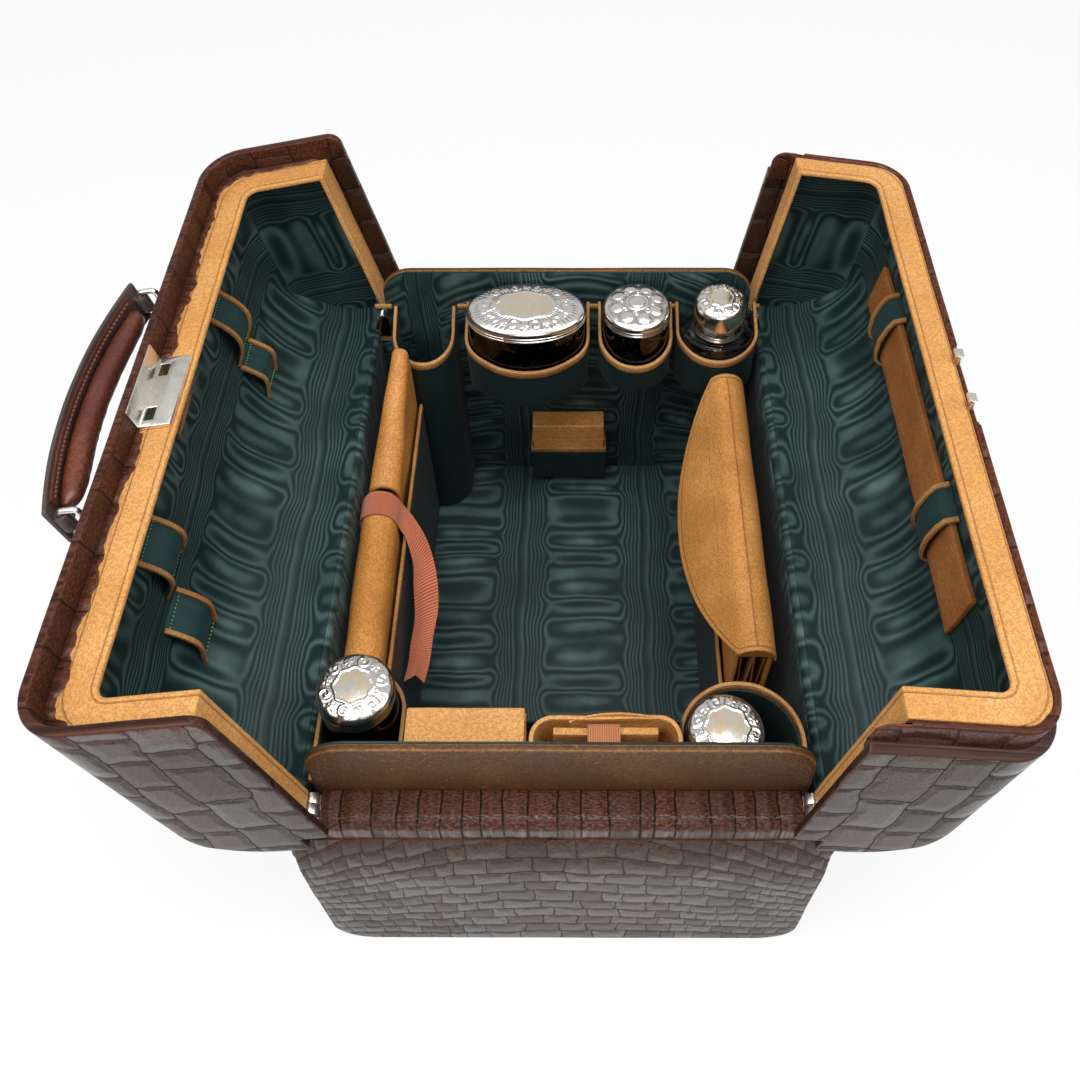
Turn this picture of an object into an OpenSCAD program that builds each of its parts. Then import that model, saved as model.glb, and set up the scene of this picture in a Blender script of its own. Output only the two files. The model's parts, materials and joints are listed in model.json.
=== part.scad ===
// Fitted dressing case in crocodile leather, drawn open.
// X runs across the case, Y away from the viewer along its length, Z up from the flat base.
// Each roof leaf is drawn shut in its own frame (u toward the middle, v up) and turned open.

/* [Body] */
// Width of the body over its side panels
body_w = 286; // [280:1:292]
// Length of the case over its end panels
case_l = 401; // [397:1:405]
// Height from the base to the hinge line
hinge_z = 181.5; // [179:0.5:186]
// Radius of the body's two lower edges
lower_r = 24; // [18:1:28]
// Thickness of the side panels
panel_t = 5; // [4:0.5:6]
// Thickness of the end panels
end_panel_t = 8; // [7:0.5:8.5]
// Thickness of the base board
base_t = 6; // [5:0.5:8]
// Depth of the rail on top of each end panel
rail_d = 19.8; // [18:0.1:20.5]
// Thickness of the boards that stand behind the rails
board_t = 4; // [3:0.5:4.5]
// Height of these boards above the hinge line
board_rise = 49.5; // [45:0.5:50]

/* [Roof leaves] */
// Height of a shut leaf above the hinge line
leaf_h = 78.5; // [77:0.5:82]
// Angle of the open left leaf
open_left = 101.6; // [95:0.1:102]
// Angle of the open right leaf
open_right = 98.2; // [95:0.1:102]
// Radius of the roof above the hinge
roof_r = 61.8; // [58:0.1:64]
// Radius of the shoulder between roof and cheek
shoulder_r = 26; // [20:1:30]
// Thickness of the leaf shells
shell_t = 5; // [4.5:0.1:5.5]
// Reach of the left leaf's lip past its tan face
lip_reach = 15.5; // [12:0.5:17]
// Drop of the cheeks in front of the rails
lip_drop = 13; // [8:0.5:15]
// Width of the rim seen along the long side
rim_long = 27; // [24:0.5:28]
// Width of the rim seen at the two ends
rim_end = 24.5; // [24:0.1:25]

/* [Handle and lock] */
// Length of the handle band
handle_l = 166; // [150:1:180]
// Width of the handle band
band_w = 26; // [20:1:30]
// Radius of the round grip under the band
grip_r = 7; // [5:0.5:8]
// Length of the lock plate
lock_l = 50; // [44:1:56]
// Place of the lock's and handle's middle along the rim
middle_y = 5; // [-6:1:8]
// Travel of the lock bolt
bolt_travel = 4; // [3:0.5:5]

/* [Vessels] */
// Length of the oval glass box
oval_l = 80; // [74:1:82]
// Depth of the oval glass box
oval_d = 50; // [46:1:52]
// Diameter of the round jar
jar_d = 45; // [40:1:46]
// Length of the scent bottle's shoulders
scent_l = 50; // [44:1:50]
// Diameter of the tall bottle
tall_d = 41; // [36:1:42]
// Diameter of the short bottle
short_d = 41; // [36:1:42]
// Thickness of the glass
glass_t = 2.5; // [2:0.1:3]
// Thickness of the silver
silver_t = 0.8; // [0.6:0.1:1]

/* [Hidden] */
$fn = 64;
hull_fn = 32;
eps = 0.01;
far_out = 500;

croc = [0.27, 0.13, 0.08];
croc_red = [0.38, 0.15, 0.09];
tan_hide = [0.80, 0.58, 0.30];
board_brown = [0.40, 0.25, 0.11];
silk = [0.07, 0.20, 0.19];
nickel = [0.80, 0.77, 0.72];
silver = [0.76, 0.75, 0.73];
glass = [0.75, 0.82, 0.84, 0.4];
rust = [0.62, 0.30, 0.20];
grip_brown = [0.33, 0.25, 0.21];

// Clearances: sewn skins, running pins, parts that pass each other, soft parts
silk_t = 1.2;
run_fit = 0.05;
pass_gap = 0.4;
soft_gap = 0.5;

half_w = body_w / 2;
half_l = case_l / 2;
hinge_inset = 13;
hinge_x = half_w - hinge_inset;
panel_drop = 18.5;
panel_z = hinge_z - panel_drop;
rail_top_gap = 0.3;
strip_t = 1.6;
rail_front = half_l - shell_t - 2 * pass_gap - strip_t;
board_out = rail_front - rail_d;
board_in = board_out - board_t;
wall_y = board_in - silk_t;
wall_x = half_w - panel_t - silk_t;
// Fittings keep their place by the walls: share of their width, and moves of the side and end walls
spread = pow(half_w / 143, 1.2);
out_x = wall_x - 136.8;
out_y = wall_y - 168.1;
floor_pad = 4;
floor_z = base_t + floor_pad;
board_top = hinge_z + board_rise;
board_half = hinge_x - 0.8;
board_r = 22;

wall_cut = 12;
face_left = hinge_x - 3;
face_right = hinge_x - 0.3;
face_t = 3;
rim_in_y = half_l - rim_end;
rim_in_v = leaf_h - rim_long;
rim_corner_r = 7;
lip_corner_r = 8;
rebate_u = face_right - lip_reach - pass_gap;
rebate_band = 6;
border_t = 4;
lip_end = face_left + lip_reach;
lining_v = leaf_h - shell_t - silk_t;

// Hinges at the rail ends: three knuckles along Y
pin_r = 1.6;
knuckle_r = 4.2;
hinge_y0 = rim_in_y + 0.6;
knuckle_l = 5.4;
knuckle_gap = 0.2;
rail_half = hinge_x - knuckle_r - 0.3;

// Lock on the left leaf and hooks on the right one
lock_v0 = 54;
lock_depth = 12;
lock_wall = 1.2;
lock_face = face_right - pass_gap;
slot_y = 16;
slot_l = 9;
hook_v = leaf_h - shell_t - 4;
hook_t = 2;
hook_reach = 8;
barb_h = 3;
barb_t = 1.8;
slot_w = hook_t + barb_h + 2 * pass_gap;
slot_v = hook_v - barb_h / 2;

// Handle on the left leaf's roof
chape_u = 126;
pivot_v = leaf_h + 6.5;
pivot_r = 2;
ring_bar_r = 1.7;
ring_neck = 3.5;
ring_rise = 11;
ring_half = 8;
ring_y = handle_l / 2 - 4;
chape_l = 9;
chape_gap = 0.3;
band_t = 2.6;
arch_rise = 13;
arch_r = (pow(handle_l / 2, 2) + pow(arch_rise, 2)) / (2 * arch_rise);
arch_angle = asin(handle_l / 2 / arch_r);
ring_top_v = pivot_v + ring_neck + ring_rise;
band_end_v = ring_top_v + ring_bar_r;

// Vessels: centres, tops and bases. Those on the far wall share what room is left between them
pocket_gap = 1.6;
silk_in = pocket_gap;
silk_out = pocket_gap + silk_t;
empty_r = 20;
slack = (2 * wall_x - scent_l - jar_d - oval_l - 2 * empty_r - 8 * silk_out) / 36.2;
empty_x = -wall_x + empty_r + silk_out + 13 * slack;
empty_y = wall_y - 20;
scent_x = wall_x - scent_l / 2 - silk_out - 4 * slack;
jar_x = scent_x - scent_l / 2 - jar_d / 2 - 2 * silk_out - 3.9 * slack;
oval_x = jar_x - jar_d / 2 - oval_l / 2 - 2 * silk_out - 7.4 * slack;
vessel_gap = 0.6;
seat_gap = 0.3;
far_top = hinge_z + 45.5;
oval_y = wall_y - vessel_gap - oval_d / 2 - 1.2;
oval_base = far_top - 72;
jar_y = wall_y - vessel_gap - jar_d / 2 - 1.2;
jar_base = far_top - 62;
scent_d = 42;
scent_top = far_top + 3;
scent_y = wall_y - vessel_gap - scent_d / 2 - 1;
scent_base = far_top - 72;
scent_shoulder = far_top - 25;
cap_r = 17.5;
tall_x = -110.5 - out_x;
tall_y = -(wall_y - 39);
tall_top = hinge_z + 31;
tall_base = tall_top - 150;
short_y = -(wall_y - 25);
short_top = hinge_z + 11;
short_base = short_top - 118;
lid_h = 12;
lid_fit = 0.25;
neck_h = 7;
bottle_lid_h = 13;

// Pockets: mouth height at the wall and at the front
mouth_back = hinge_z + 19;
mouth_front = hinge_z + 4;
edge_h = 2.4;
edge_t = 2.2;

// Leather pieces
small_box = [56, 16, 62];
small_box_z = 21;
small_box_mouth = 55;
near_box = [63 * spread, 29, 60];
near_box_x = tall_x + 28 + near_box[0] / 2;
near_box_top = hinge_z + 23.5;
folded = [80 * spread, 25, 92];
folded_wall = 2.4;
folded_x = near_box_x + near_box[0] / 2 + 2.5 + folded[0] / 2;
folded_top = hinge_z + 23.5;
case_pocket_top = hinge_z + 4;
roll_base = 30;
side_pocket_x = -107 - out_x;
side_pocket_top = 138;
side_pocket_y = [-88 - out_y, 126 + out_y];
wallet_x = [98 + out_x, 124 + out_x];
wallet_y = [-92 - out_y, 120 + out_y];
wallet_z = [45, 180];
wallet_pocket_top = 118;
flap_t = 1.6;
flap_reach = 43;
flap_angle = 52;
flat_u = [51, 84];
flat_y = [-104 - out_y, 148 + out_y];
flat_t = 4;
loop_t = 1;

module along_y(y0, y1) translate([0, y1, 0]) rotate([90, 0, 0]) linear_extrude(y1 - y0) children();
module along_x(x0, x1) translate([x0, 0, 0]) rotate([90, 0, 90]) linear_extrude(x1 - x0) children();
module both_ends() {
    children();
    mirror([0, 1, 0]) children();
}
module both_sides() {
    children();
    mirror([1, 0, 0]) children();
}
module block(x, y, z) translate([x[0], y[0], z[0]]) cube([x[1] - x[0], y[1] - y[0], z[1] - z[0]]);
module left_pose() translate([-hinge_x, 0, hinge_z]) rotate([0, -open_left, 0]) children();
module right_pose()
    translate([hinge_x, 0, hinge_z]) rotate([0, open_right, 0]) mirror([1, 0, 0]) children();

// A rectangle with one round corner, top left
module corner_profile(x0, x1, y0, y1, r) {
    intersection() {
        translate([x0, y0]) square([x1 - x0, y1 - y0]);
        union() {
            translate([x0 + r, y0]) square([x1 - x0 - r, y1 - y0]);
            translate([x0, y0 - r]) square([r, y1 - y0]);
            translate([x0 + r, y1 - r]) circle(r);
        }
    }
}
// A rectangle with two round corners on top, centred on the first axis
module arch_profile(half, y0, y1, r) {
    translate([-half, y0]) square([2 * half, y1 - y0 - r]);
    translate([-half + r, y0]) square([2 * (half - r), y1 - y0]);
    for (s = [-1, 1]) translate([s * (half - r), y1 - r]) circle(r);
}
// The body's cross outline: square on top, round below
module body_outline(grow, z1) {
    intersection() {
        union() {
            for (s = [-1, 1]) translate([s * (half_w - lower_r), lower_r]) circle(lower_r + grow);
            translate([-half_w - grow, lower_r]) square([body_w + 2 * grow, z1 - lower_r]);
            translate([-half_w + lower_r, -grow]) square([body_w - 2 * lower_r, z1 + grow]);
        }
        translate([-far_out, -grow]) square([2 * far_out, z1 + grow]);
    }
}
// A four-centred oval from true arcs
module oval(a, b) {
    r = b * 0.67;
    c = a - r;
    k = (c * c - pow(b - r, 2)) / (2 * (b - r));
    big = b + k;
    reach = c + r * c / sqrt(c * c + k * k);
    for (s = [-1, 1]) translate([s * c, 0]) circle(r);
    intersection() {
        translate([0, k]) circle(big, $fn = 128);
        translate([0, -k]) circle(big, $fn = 128);
        square([2 * reach, 4 * b], center = true);
    }
}
// Everything under a plane that falls from the wall to the front of a pocket and a bit past it
module under_slope(y_front, z_front, z_back, z0, lift) {
    past = 5;
    y = y_front - past;
    z = z_front - past * (z_back - z_front) / (wall_y - y_front);
    along_x(-far_out, far_out)
        polygon([[y, z0], [wall_y, z0], [wall_y, z_back + lift], [y, z + lift]]);
}

module base_board() {
    color(board_brown)
        block([-half_w + lower_r, half_w - lower_r], [-half_l + end_panel_t, half_l - end_panel_t],
            [0, base_t]);
}

module side_wrap() {
    along_y(-half_l + end_panel_t, half_l - end_panel_t) difference() {
        body_outline(0, panel_z);
        body_outline(-panel_t, panel_z + 1);
        translate([-half_w + lower_r, -1]) square([far_out, far_out]);
    }
}
module side_panel_left() color(croc) side_wrap();
module side_panel_right() color(croc) mirror([1, 0, 0]) side_wrap();

// The end panels swell out below the rail
swell_h = 45;
module end_panel() {
    inset = half_l - rail_front;
    swell_r = (swell_h * swell_h + inset * inset) / (2 * inset);
    intersection() {
        along_y(half_l - end_panel_t, half_l) body_outline(0, panel_z);
        along_x(-half_w, half_w) intersection() {
            translate([0, -1]) square([half_l, panel_z + 2]);
            union() {
                translate([0, -1]) square([half_l, panel_z + 1 - swell_h]);
                translate([half_l - swell_r, panel_z - swell_h]) circle(swell_r, $fn = 256);
            }
        }
    }
}
module end_panel_far() color(croc) end_panel();
module end_panel_near() color(croc) mirror([0, 1, 0]) end_panel();

module end_rails() {
    rail_r = 7;
    color(croc_red) both_ends() along_x(-rail_half, rail_half) intersection() {
        translate([board_out, panel_z]) square([rail_d, panel_drop - rail_top_gap]);
        union() {
            translate([board_out, panel_z]) square([rail_d - rail_r, panel_drop]);
            translate([board_out, panel_z]) square([rail_d, panel_drop - rail_top_gap - rail_r]);
            translate([rail_front - rail_r, hinge_z - rail_top_gap - rail_r]) circle(rail_r);
        }
    }
}

module seam_welts() {
    welt = 1.4;
    welt_w = 3.5;
    welt_foot = 2;
    color(croc) both_ends() along_y(half_l - end_panel_t, half_l - end_panel_t + welt_w) difference() {
        body_outline(welt, panel_z);
        body_outline(0, panel_z + 1);
        translate([-far_out, -far_out]) square([2 * far_out, far_out + welt_foot]);
    }
}

module body_lining() {
    color(silk) {
        along_y(-wall_y, wall_y) difference() {
            body_outline(-panel_t, panel_z);
            intersection() {
                body_outline(-panel_t - silk_t, panel_z + 1);
                translate([-far_out, floor_z]) square([2 * far_out, far_out]);
            }
            translate([-far_out, -far_out]) square([2 * far_out, far_out + base_t]);
        }
        both_ends() along_y(wall_y, wall_y + silk_t) end_board_outline(0.6, base_t);
    }
}

// Outline of an end board: the body's width below, narrower and round on top
module end_board_outline(inset, z0) {
    low_half = half_w - panel_t - inset;
    low_r = lower_r - panel_t;
    intersection() {
        translate([-low_half, z0]) square([2 * low_half, panel_z - z0]);
        union() {
            translate([-low_half, lower_r]) square([2 * low_half, panel_z]);
            translate([-low_half + low_r, 0]) square([2 * (low_half - low_r), panel_z]);
            for (s = [-1, 1]) translate([s * (low_half - low_r), lower_r]) circle(low_r);
        }
    }
    arch_profile(board_half - inset, panel_z - eps, board_top - inset, board_r);
}
module end_board() along_y(board_in, board_out) end_board_outline(0, base_t);
module end_board_far() color(board_brown) end_board();
module end_board_near() color(board_brown) mirror([0, 1, 0]) end_board();

// A point of a leaf turned open about the hinge
function turned(p, a) = [p[0] * cos(a) - p[1] * sin(a), p[0] * sin(a) + p[1] * cos(a)];
module at_hinge(half) translate([-hinge_x, 0, hinge_z]) along_y(-half, half) children();
// Outer skin, pressed flat between the side's top edge and the open leaf
module leather_gusset(open) {
    back = panel_t - hinge_inset - pass_gap;
    edge = -hinge_inset - 0.1;
    at_hinge(half_l - end_panel_t - soft_gap) polygon([
        [-hinge_inset, -panel_drop], [back, -panel_drop],
        [back, turned([edge, wall_cut], open)[1]],
        turned([edge, wall_cut], open), turned([edge, wall_cut + 3], open)
    ]);
}
// Lining that runs from the side's top edge into the leaf: a curve at x that ends along the leaf
function bridge(x, open) =
    let (p0 = [x, -panel_drop], p2 = turned([x, wall_cut - 0.1], open),
        p1 = [x, p2[1] + (x - p2[0]) * tan(open - 90)])
    [for (i = [0:8]) let (t = i / 8)
        (1 - t) * (1 - t) * p0 + 2 * t * (1 - t) * p1 + t * t * p2];
module lining_gusset(open) {
    x = panel_t - hinge_inset;
    inner = bridge(x + silk_t, open);
    at_hinge(wall_y - soft_gap)
        polygon(concat(bridge(x, open), [for (i = [8:-1:0]) inner[i]]));
}
module leather_gusset_left() color(croc) leather_gusset(open_left);
module leather_gusset_right() color(croc) mirror([1, 0, 0]) leather_gusset(open_right);
module lining_gusset_left() color(silk) lining_gusset(open_left);
module lining_gusset_right() color(silk) mirror([1, 0, 0]) lining_gusset(open_right);

// A sewn pocket: a sleeve round a plan outline, closed below, open at the wall
// children(0) is the pocket's inner plan, children(1) its outer plan
module sleeve(y_front, z0, z_front, z_back) {
    intersection() {
        difference() {
            translate([0, 0, z0]) linear_extrude(z_back - z0) children(1);
            translate([0, 0, z0 + silk_t]) linear_extrude(z_back - z0) children(0);
        }
        under_slope(y_front, z_front, z_back, z0, 0);
    }
}
// Piping along a sleeve's mouth, on the same slope as the sleeve
module piping(y_front, z_front, z_back) {
    intersection() {
        difference() {
            translate([0, 0, z_front - 1]) linear_extrude(z_back - z_front + 2 * edge_h)
                children(1);
            translate([0, 0, z_front - 2]) linear_extrude(z_back - z_front + 3 * edge_h)
                children(0);
        }
        difference() {
            under_slope(y_front, z_front, z_back, z_front - 10, edge_h);
            under_slope(y_front, z_front, z_back, z_front - 11, 0);
        }
    }
}
module oval_plan(grow) translate([oval_x, oval_y]) oval(oval_l / 2 + grow, oval_d / 2 + grow);
module jar_plan(grow) translate([jar_x, jar_y]) circle(jar_d / 2 + grow);
module scent_plan(grow)
    translate([scent_x, scent_y]) oval(scent_l / 2 + grow, scent_d / 2 + grow);
module empty_plan(grow) translate([empty_x, empty_y]) circle(empty_r + grow);
// Runs a pocket's sides straight back to the wall
module to_wall(x, half, y) {
    children();
    translate([x - half, y]) square([2 * half, wall_y - y]);
}
module oval_sleeve(grow)
    to_wall(oval_x, oval_l / 2 + grow, oval_y) oval_plan(grow);
module jar_sleeve(grow)
    to_wall(jar_x, jar_d / 2 + grow, jar_y) jar_plan(grow);
module scent_sleeve(grow)
    to_wall(scent_x, scent_l / 2 + grow, scent_y) scent_plan(grow);
module empty_sleeve(grow)
    to_wall(empty_x, empty_r + grow, empty_y) empty_plan(grow);

module oval_box_pocket() {
    color(silk) sleeve(oval_y - oval_d / 2 - silk_out, oval_base - silk_t - seat_gap,
        mouth_front, mouth_back) {
        oval_sleeve(silk_in);
        oval_sleeve(silk_out);
    }
}
module jar_pocket() {
    color(silk) sleeve(jar_y - jar_d / 2 - silk_out, jar_base - silk_t - seat_gap,
        mouth_front, mouth_back) {
        jar_sleeve(silk_in);
        jar_sleeve(silk_out);
    }
}
module scent_pocket() {
    color(silk) sleeve(scent_y - scent_d / 2 - silk_out, scent_base - silk_t - seat_gap,
        mouth_front + 2, mouth_back) {
        scent_sleeve(silk_in);
        scent_sleeve(silk_out);
    }
}
module empty_pocket() {
    color(silk) sleeve(empty_y - empty_r - silk_t, floor_z, mouth_front - 6, mouth_back - 4) {
        empty_sleeve(0);
        empty_sleeve(silk_t);
    }
}

// Square pocket fronts for the small box on the far wall and the two pieces on the near wall
module tray(x, y, z, open_y) {
    difference() {
        block([x[0] - silk_t, x[1] + silk_t], y, [z[0] - silk_t, z[1]]);
        block(x, open_y, [z[0], z[1] + 1]);
    }
}
module leather_box_pockets() {
    gap = 0.6;
    small_half = small_box[0] / 2 + gap;
    small_front = wall_y - small_box[1] - 2 * gap;
    near_x = [near_box_x - near_box[0] / 2 - gap, folded_x + folded[0] / 2 + gap];
    near_back = -wall_y + near_box[1] + 2 * gap;
    color(silk) {
        tray([-small_half, small_half], [small_front - silk_t, wall_y],
            [small_box_z - seat_gap, small_box_mouth], [small_front, wall_y + 1]);
        tray(near_x, [-wall_y, near_back + silk_t], [case_pocket_floor - seat_gap, case_pocket_top],
            [-wall_y - 1, near_back]);
        // Ledge that lifts the shorter box to the height of the folded case
        block([near_box_x - near_box[0] / 2 - gap / 2, near_box_x + near_box[0] / 2],
            [-wall_y, near_back - gap / 2],
            [case_pocket_floor - seat_gap, near_box_top - near_box[2] - seat_gap]);
    }
}
case_pocket_floor = folded_top - folded[2];
near_tray_x = folded_x + folded[0] / 2 + 0.6 + silk_t;

module tall_plan(grow) translate([tall_x, tall_y]) circle(tall_d / 2 + grow);
module tall_pocket_plan(grow) {
    tall_plan(grow);
    translate([tall_x - tall_d / 2 - grow, -wall_y]) square([tall_d + 2 * grow, tall_y + wall_y]);
}
tall_mouth = hinge_z - 3.5;
short_mouth = hinge_z - 4;
module bottle_pockets() {
    color(silk) {
        difference() {
            translate([0, 0, tall_base - silk_t - seat_gap])
                linear_extrude(tall_mouth - tall_base + silk_t + seat_gap) tall_pocket_plan(silk_out);
            translate([0, 0, tall_base - seat_gap]) linear_extrude(far_out)
                tall_pocket_plan(silk_in);
        }
        difference() {
            translate([0, 0, short_base - silk_t - seat_gap])
                linear_extrude(short_mouth - short_base) short_pocket_plan(silk_t);
            translate([0, 0, short_base - seat_gap]) linear_extrude(far_out)
                short_pocket_plan(0);
        }
    }
}
// Wide half-round pocket on the near wall that holds the short bottle
short_half = 31 * spread;
short_pocket_x = near_tray_x + pass_gap + silk_t + short_half;
short_x = short_pocket_x - short_half + 21.6;
module short_pocket_plan(grow) {
    depth = 22;
    intersection() {
        translate([short_pocket_x, -wall_y + depth]) circle(short_half + grow);
        translate([0, -wall_y]) square(far_out);
    }
    translate([short_pocket_x - short_half - grow, -wall_y])
        square([2 * (short_half + grow), depth]);
}

module side_pockets() {
    wallet_pocket_y = [wallet_y[0] - 2, wallet_y[1] - 20];
    color(silk) intersection() {
        union() {
            block([side_pocket_x, side_pocket_x + silk_t], side_pocket_y, [floor_z, side_pocket_top]);
            block([-wall_x, side_pocket_x], [side_pocket_y[0] - silk_t / 2, side_pocket_y[0] + silk_t / 2],
                [floor_z, 120]);
            block([-wall_x, side_pocket_x], [side_pocket_y[0] + silk_t, side_pocket_y[1] - 14],
                [roll_base - 8, roll_base - seat_gap]);
            block([wallet_x[0] - 2.2, wallet_x[0] - 1], wallet_pocket_y, [floor_z, wallet_pocket_top]);
            for (y = wallet_pocket_y)
                block([wallet_x[0] - 1, wall_x], [y - silk_t / 2, y + silk_t / 2], [floor_z, 40]);
            block([wallet_x[0] - 1, wall_x], [wallet_y[0], wallet_y[1] - 22],
                [wallet_z[0] - 8, wallet_z[0] - seat_gap]);
        }
        along_y(-wall_y, wall_y) body_outline(-panel_t - silk_t, panel_z);
    }
}

module pocket_edging() {
    inner = pocket_gap - 0.3;
    outer = inner + edge_t;
    color(tan_hide) {
        piping(oval_y - oval_d / 2 - silk_out, mouth_front, mouth_back) {
            oval_sleeve(inner);
            oval_sleeve(outer);
        }
        piping(jar_y - jar_d / 2 - silk_out, mouth_front, mouth_back) {
            jar_sleeve(inner);
            jar_sleeve(outer);
        }
        piping(scent_y - scent_d / 2 - silk_out, mouth_front + 2, mouth_back) {
            scent_sleeve(inner);
            scent_sleeve(outer);
        }
        piping(empty_y - empty_r - silk_t, mouth_front - 6, mouth_back - 4) {
            empty_sleeve(-0.4);
            empty_sleeve(edge_t - 0.4);
        }
        // Side pockets' top edges
        block([side_pocket_x - 0.4, side_pocket_x + edge_t - 0.4], side_pocket_y,
            [side_pocket_top, side_pocket_top + edge_h]);
        block([wallet_x[0] - 2.6, wallet_x[0] - 2.6 + edge_t], [wallet_y[0] - 2, 100],
            [wallet_pocket_top, wallet_pocket_top + edge_h]);
        // Band round the short bottle's pocket
        translate([0, 0, short_mouth - silk_t - 4]) linear_extrude(9) difference() {
            short_pocket_plan(silk_t + edge_t);
            short_pocket_plan(silk_t);
            translate([-far_out, -far_out]) square([far_out + near_tray_x, 2 * far_out]);
        }
        translate([0, 0, tall_mouth]) linear_extrude(edge_h) difference() {
            tall_pocket_plan(outer);
            tall_pocket_plan(inner);
        }
        // Bound edges of the pockets for the leather pieces
        small_half = small_box[0] / 2 + 0.6 + silk_t;
        translate([0, 0, small_box_mouth]) difference() {
            block([-small_half, small_half], [wall_y - small_box[1] - 1.2 - silk_t, wall_y],
                [0, edge_h]);
            block([-small_half + edge_t / 2, small_half - edge_t / 2],
                [wall_y - small_box[1] - 1.2, wall_y + 1], [-1, edge_h + 1]);
        }
    }
}

module knuckle(i, bore) {
    y = hinge_y0 + i * (knuckle_l + knuckle_gap);
    difference() {
        children();
        translate([0, y - 1, 0]) rotate([-90, 0, 0]) cylinder(r = bore, h = knuckle_l + 2);
    }
}
module barrel(i) {
    y = hinge_y0 + i * (knuckle_l + knuckle_gap);
    translate([0, y, 0]) rotate([-90, 0, 0]) cylinder(r = knuckle_r, h = knuckle_l);
}
barrel_end = hinge_y0 + 3 * knuckle_l + 2 * knuckle_gap;
plate_t = 1.2;

// Body half of the four hinges: two knuckles and a plate on the rail's end
module body_hinge_leaves() {
    color(nickel) both_sides() both_ends() translate([-hinge_x, 0, hinge_z]) difference() {
        union() {
            for (i = [0, 2]) barrel(i);
            for (i = [0, 2])
                block([knuckle_r - plate_t, knuckle_r + 0.3],
                    [hinge_y0 + i * (knuckle_l + knuckle_gap),
                        hinge_y0 + i * (knuckle_l + knuckle_gap) + knuckle_l],
                    [-knuckle_r, 0]);
            block([knuckle_r - plate_t + 0.3, knuckle_r + 0.3], [hinge_y0, barrel_end],
                [-panel_drop + 2, -knuckle_r]);
        }
        translate([0, hinge_y0 - 1, 0]) rotate([-90, 0, 0])
            cylinder(r = pin_r + run_fit, h = barrel_end - hinge_y0 + 2);
    }
}
module hinge_pins() {
    color(nickel) both_sides() both_ends()
        translate([-hinge_x, hinge_y0, hinge_z]) rotate([-90, 0, 0])
            cylinder(r = pin_r, h = barrel_end - hinge_y0);
}
// Leaf half of a hinge pair, in the leaf's own frame
module leaf_hinges() {
    y1 = hinge_y0 + knuckle_l + knuckle_gap;
    color(nickel) both_ends() difference() {
        union() {
            barrel(1);
            block([0, 6], [y1, y1 + knuckle_l], [knuckle_r - plate_t, knuckle_r]);
            block([6, 17], [hinge_y0, barrel_end], [knuckle_r - plate_t, knuckle_r]);
        }
        translate([0, y1 - 1, 0]) rotate([-90, 0, 0])
            cylinder(r = pin_r + run_fit, h = knuckle_l + 2);
    }
}
module left_hinge_leaves() left_pose() leaf_hinges();
module right_hinge_leaves() right_pose() leaf_hinges();

// The leaf's outer form, drawn in by off
module leaf_form(off, u1, v0) {
    intersection() {
        along_y(-half_l + off, half_l - off)
            corner_profile(off - hinge_inset, u1, v0, leaf_h - off, roof_r - off);
        along_x(off - hinge_inset - 1, u1 + 1) {
            arch_profile(half_l - off, v0 - 1, leaf_h - off, shoulder_r - off);
            translate([shoulder_r - half_l, v0 - 1]) square([case_l - 2 * shoulder_r, far_out]);
        }
    }
}
// Clears the hinge side: the long wall stops at wall_cut, the cheeks go further down
module hinge_cut() {
    block([-hinge_inset - 1, 2], [-half_l - 1, half_l + 1], [-lip_drop - 1, face_t]);
    block([-hinge_inset - 1, 2], [-half_l + shell_t, half_l - shell_t], [0, wall_cut]);
}
// Everything but the corner between the drop and the meeting edge
module round_corner(u1) {
    along_y(-half_l - 1, half_l + 1) {
        translate([-far_out, -lip_drop]) square([far_out + u1 - lip_corner_r, far_out]);
        translate([-far_out, -lip_drop + lip_corner_r]) square([far_out + u1, far_out]);
        translate([u1 - lip_corner_r, -lip_drop + lip_corner_r]) circle(lip_corner_r);
    }
}
module left_leaf_shell() {
    color(croc) left_pose() intersection() {
        difference() {
            leaf_form(0, lip_end, -lip_drop);
            leaf_form(shell_t, lip_end + 1, -lip_drop - 2);
            hinge_cut();
            translate([0, middle_y, 0]) button_slot(leaf_h - shell_t - 1, shell_t + 2);
        }
        round_corner(lip_end);
    }
}
// The meeting edge is stepped in so that the other leaf's lip passes over it
module right_leaf_shell() {
    step = shell_t + pass_gap;
    color(croc) right_pose() difference() {
        intersection() {
            union() {
                leaf_form(0, rebate_u, -lip_drop);
                leaf_form(step, face_right, -lip_drop);
            }
            round_corner(face_right);
        }
        leaf_form(shell_t, rebate_u - rebate_band, -lip_drop - 2);
        intersection() {
            leaf_form(step + border_t, face_right + 1, -lip_drop - 2);
            block([-far_out, far_out], [-far_out, far_out], [0, far_out]);
        }
        block([rebate_u - rebate_band - 1, face_right + 1],
            [-rail_front - pass_gap, rail_front + pass_gap], [-lip_drop - 2, 0]);
        hinge_cut();
        // Room for the lock's flange
        block([rebate_u, face_right + 1],
            [middle_y - lock_l / 2 - pass_gap, middle_y + lock_l / 2 + pass_gap],
            [lip_in - flange_t - pass_gap, leaf_h]);
    }
}

module leaf_lining(u1) {
    color(silk) difference() {
        leaf_form(shell_t, u1, face_t);
        leaf_form(shell_t + silk_t, u1 + 1, 0);
        block([-hinge_inset, 2], [-half_l + shell_t + silk_t, half_l - shell_t - silk_t],
            [0, wall_cut]);
    }
}
module left_leaf_lining() {
    color(silk) left_pose() difference() {
        leaf_lining(face_left - face_t);
        block([lock_face - lock_depth, face_left],
            [middle_y - lock_l / 2, middle_y + lock_l / 2], [lock_v0, leaf_h]);
    }
}
module right_leaf_lining() right_pose() leaf_lining(rebate_u - rebate_band);

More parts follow.
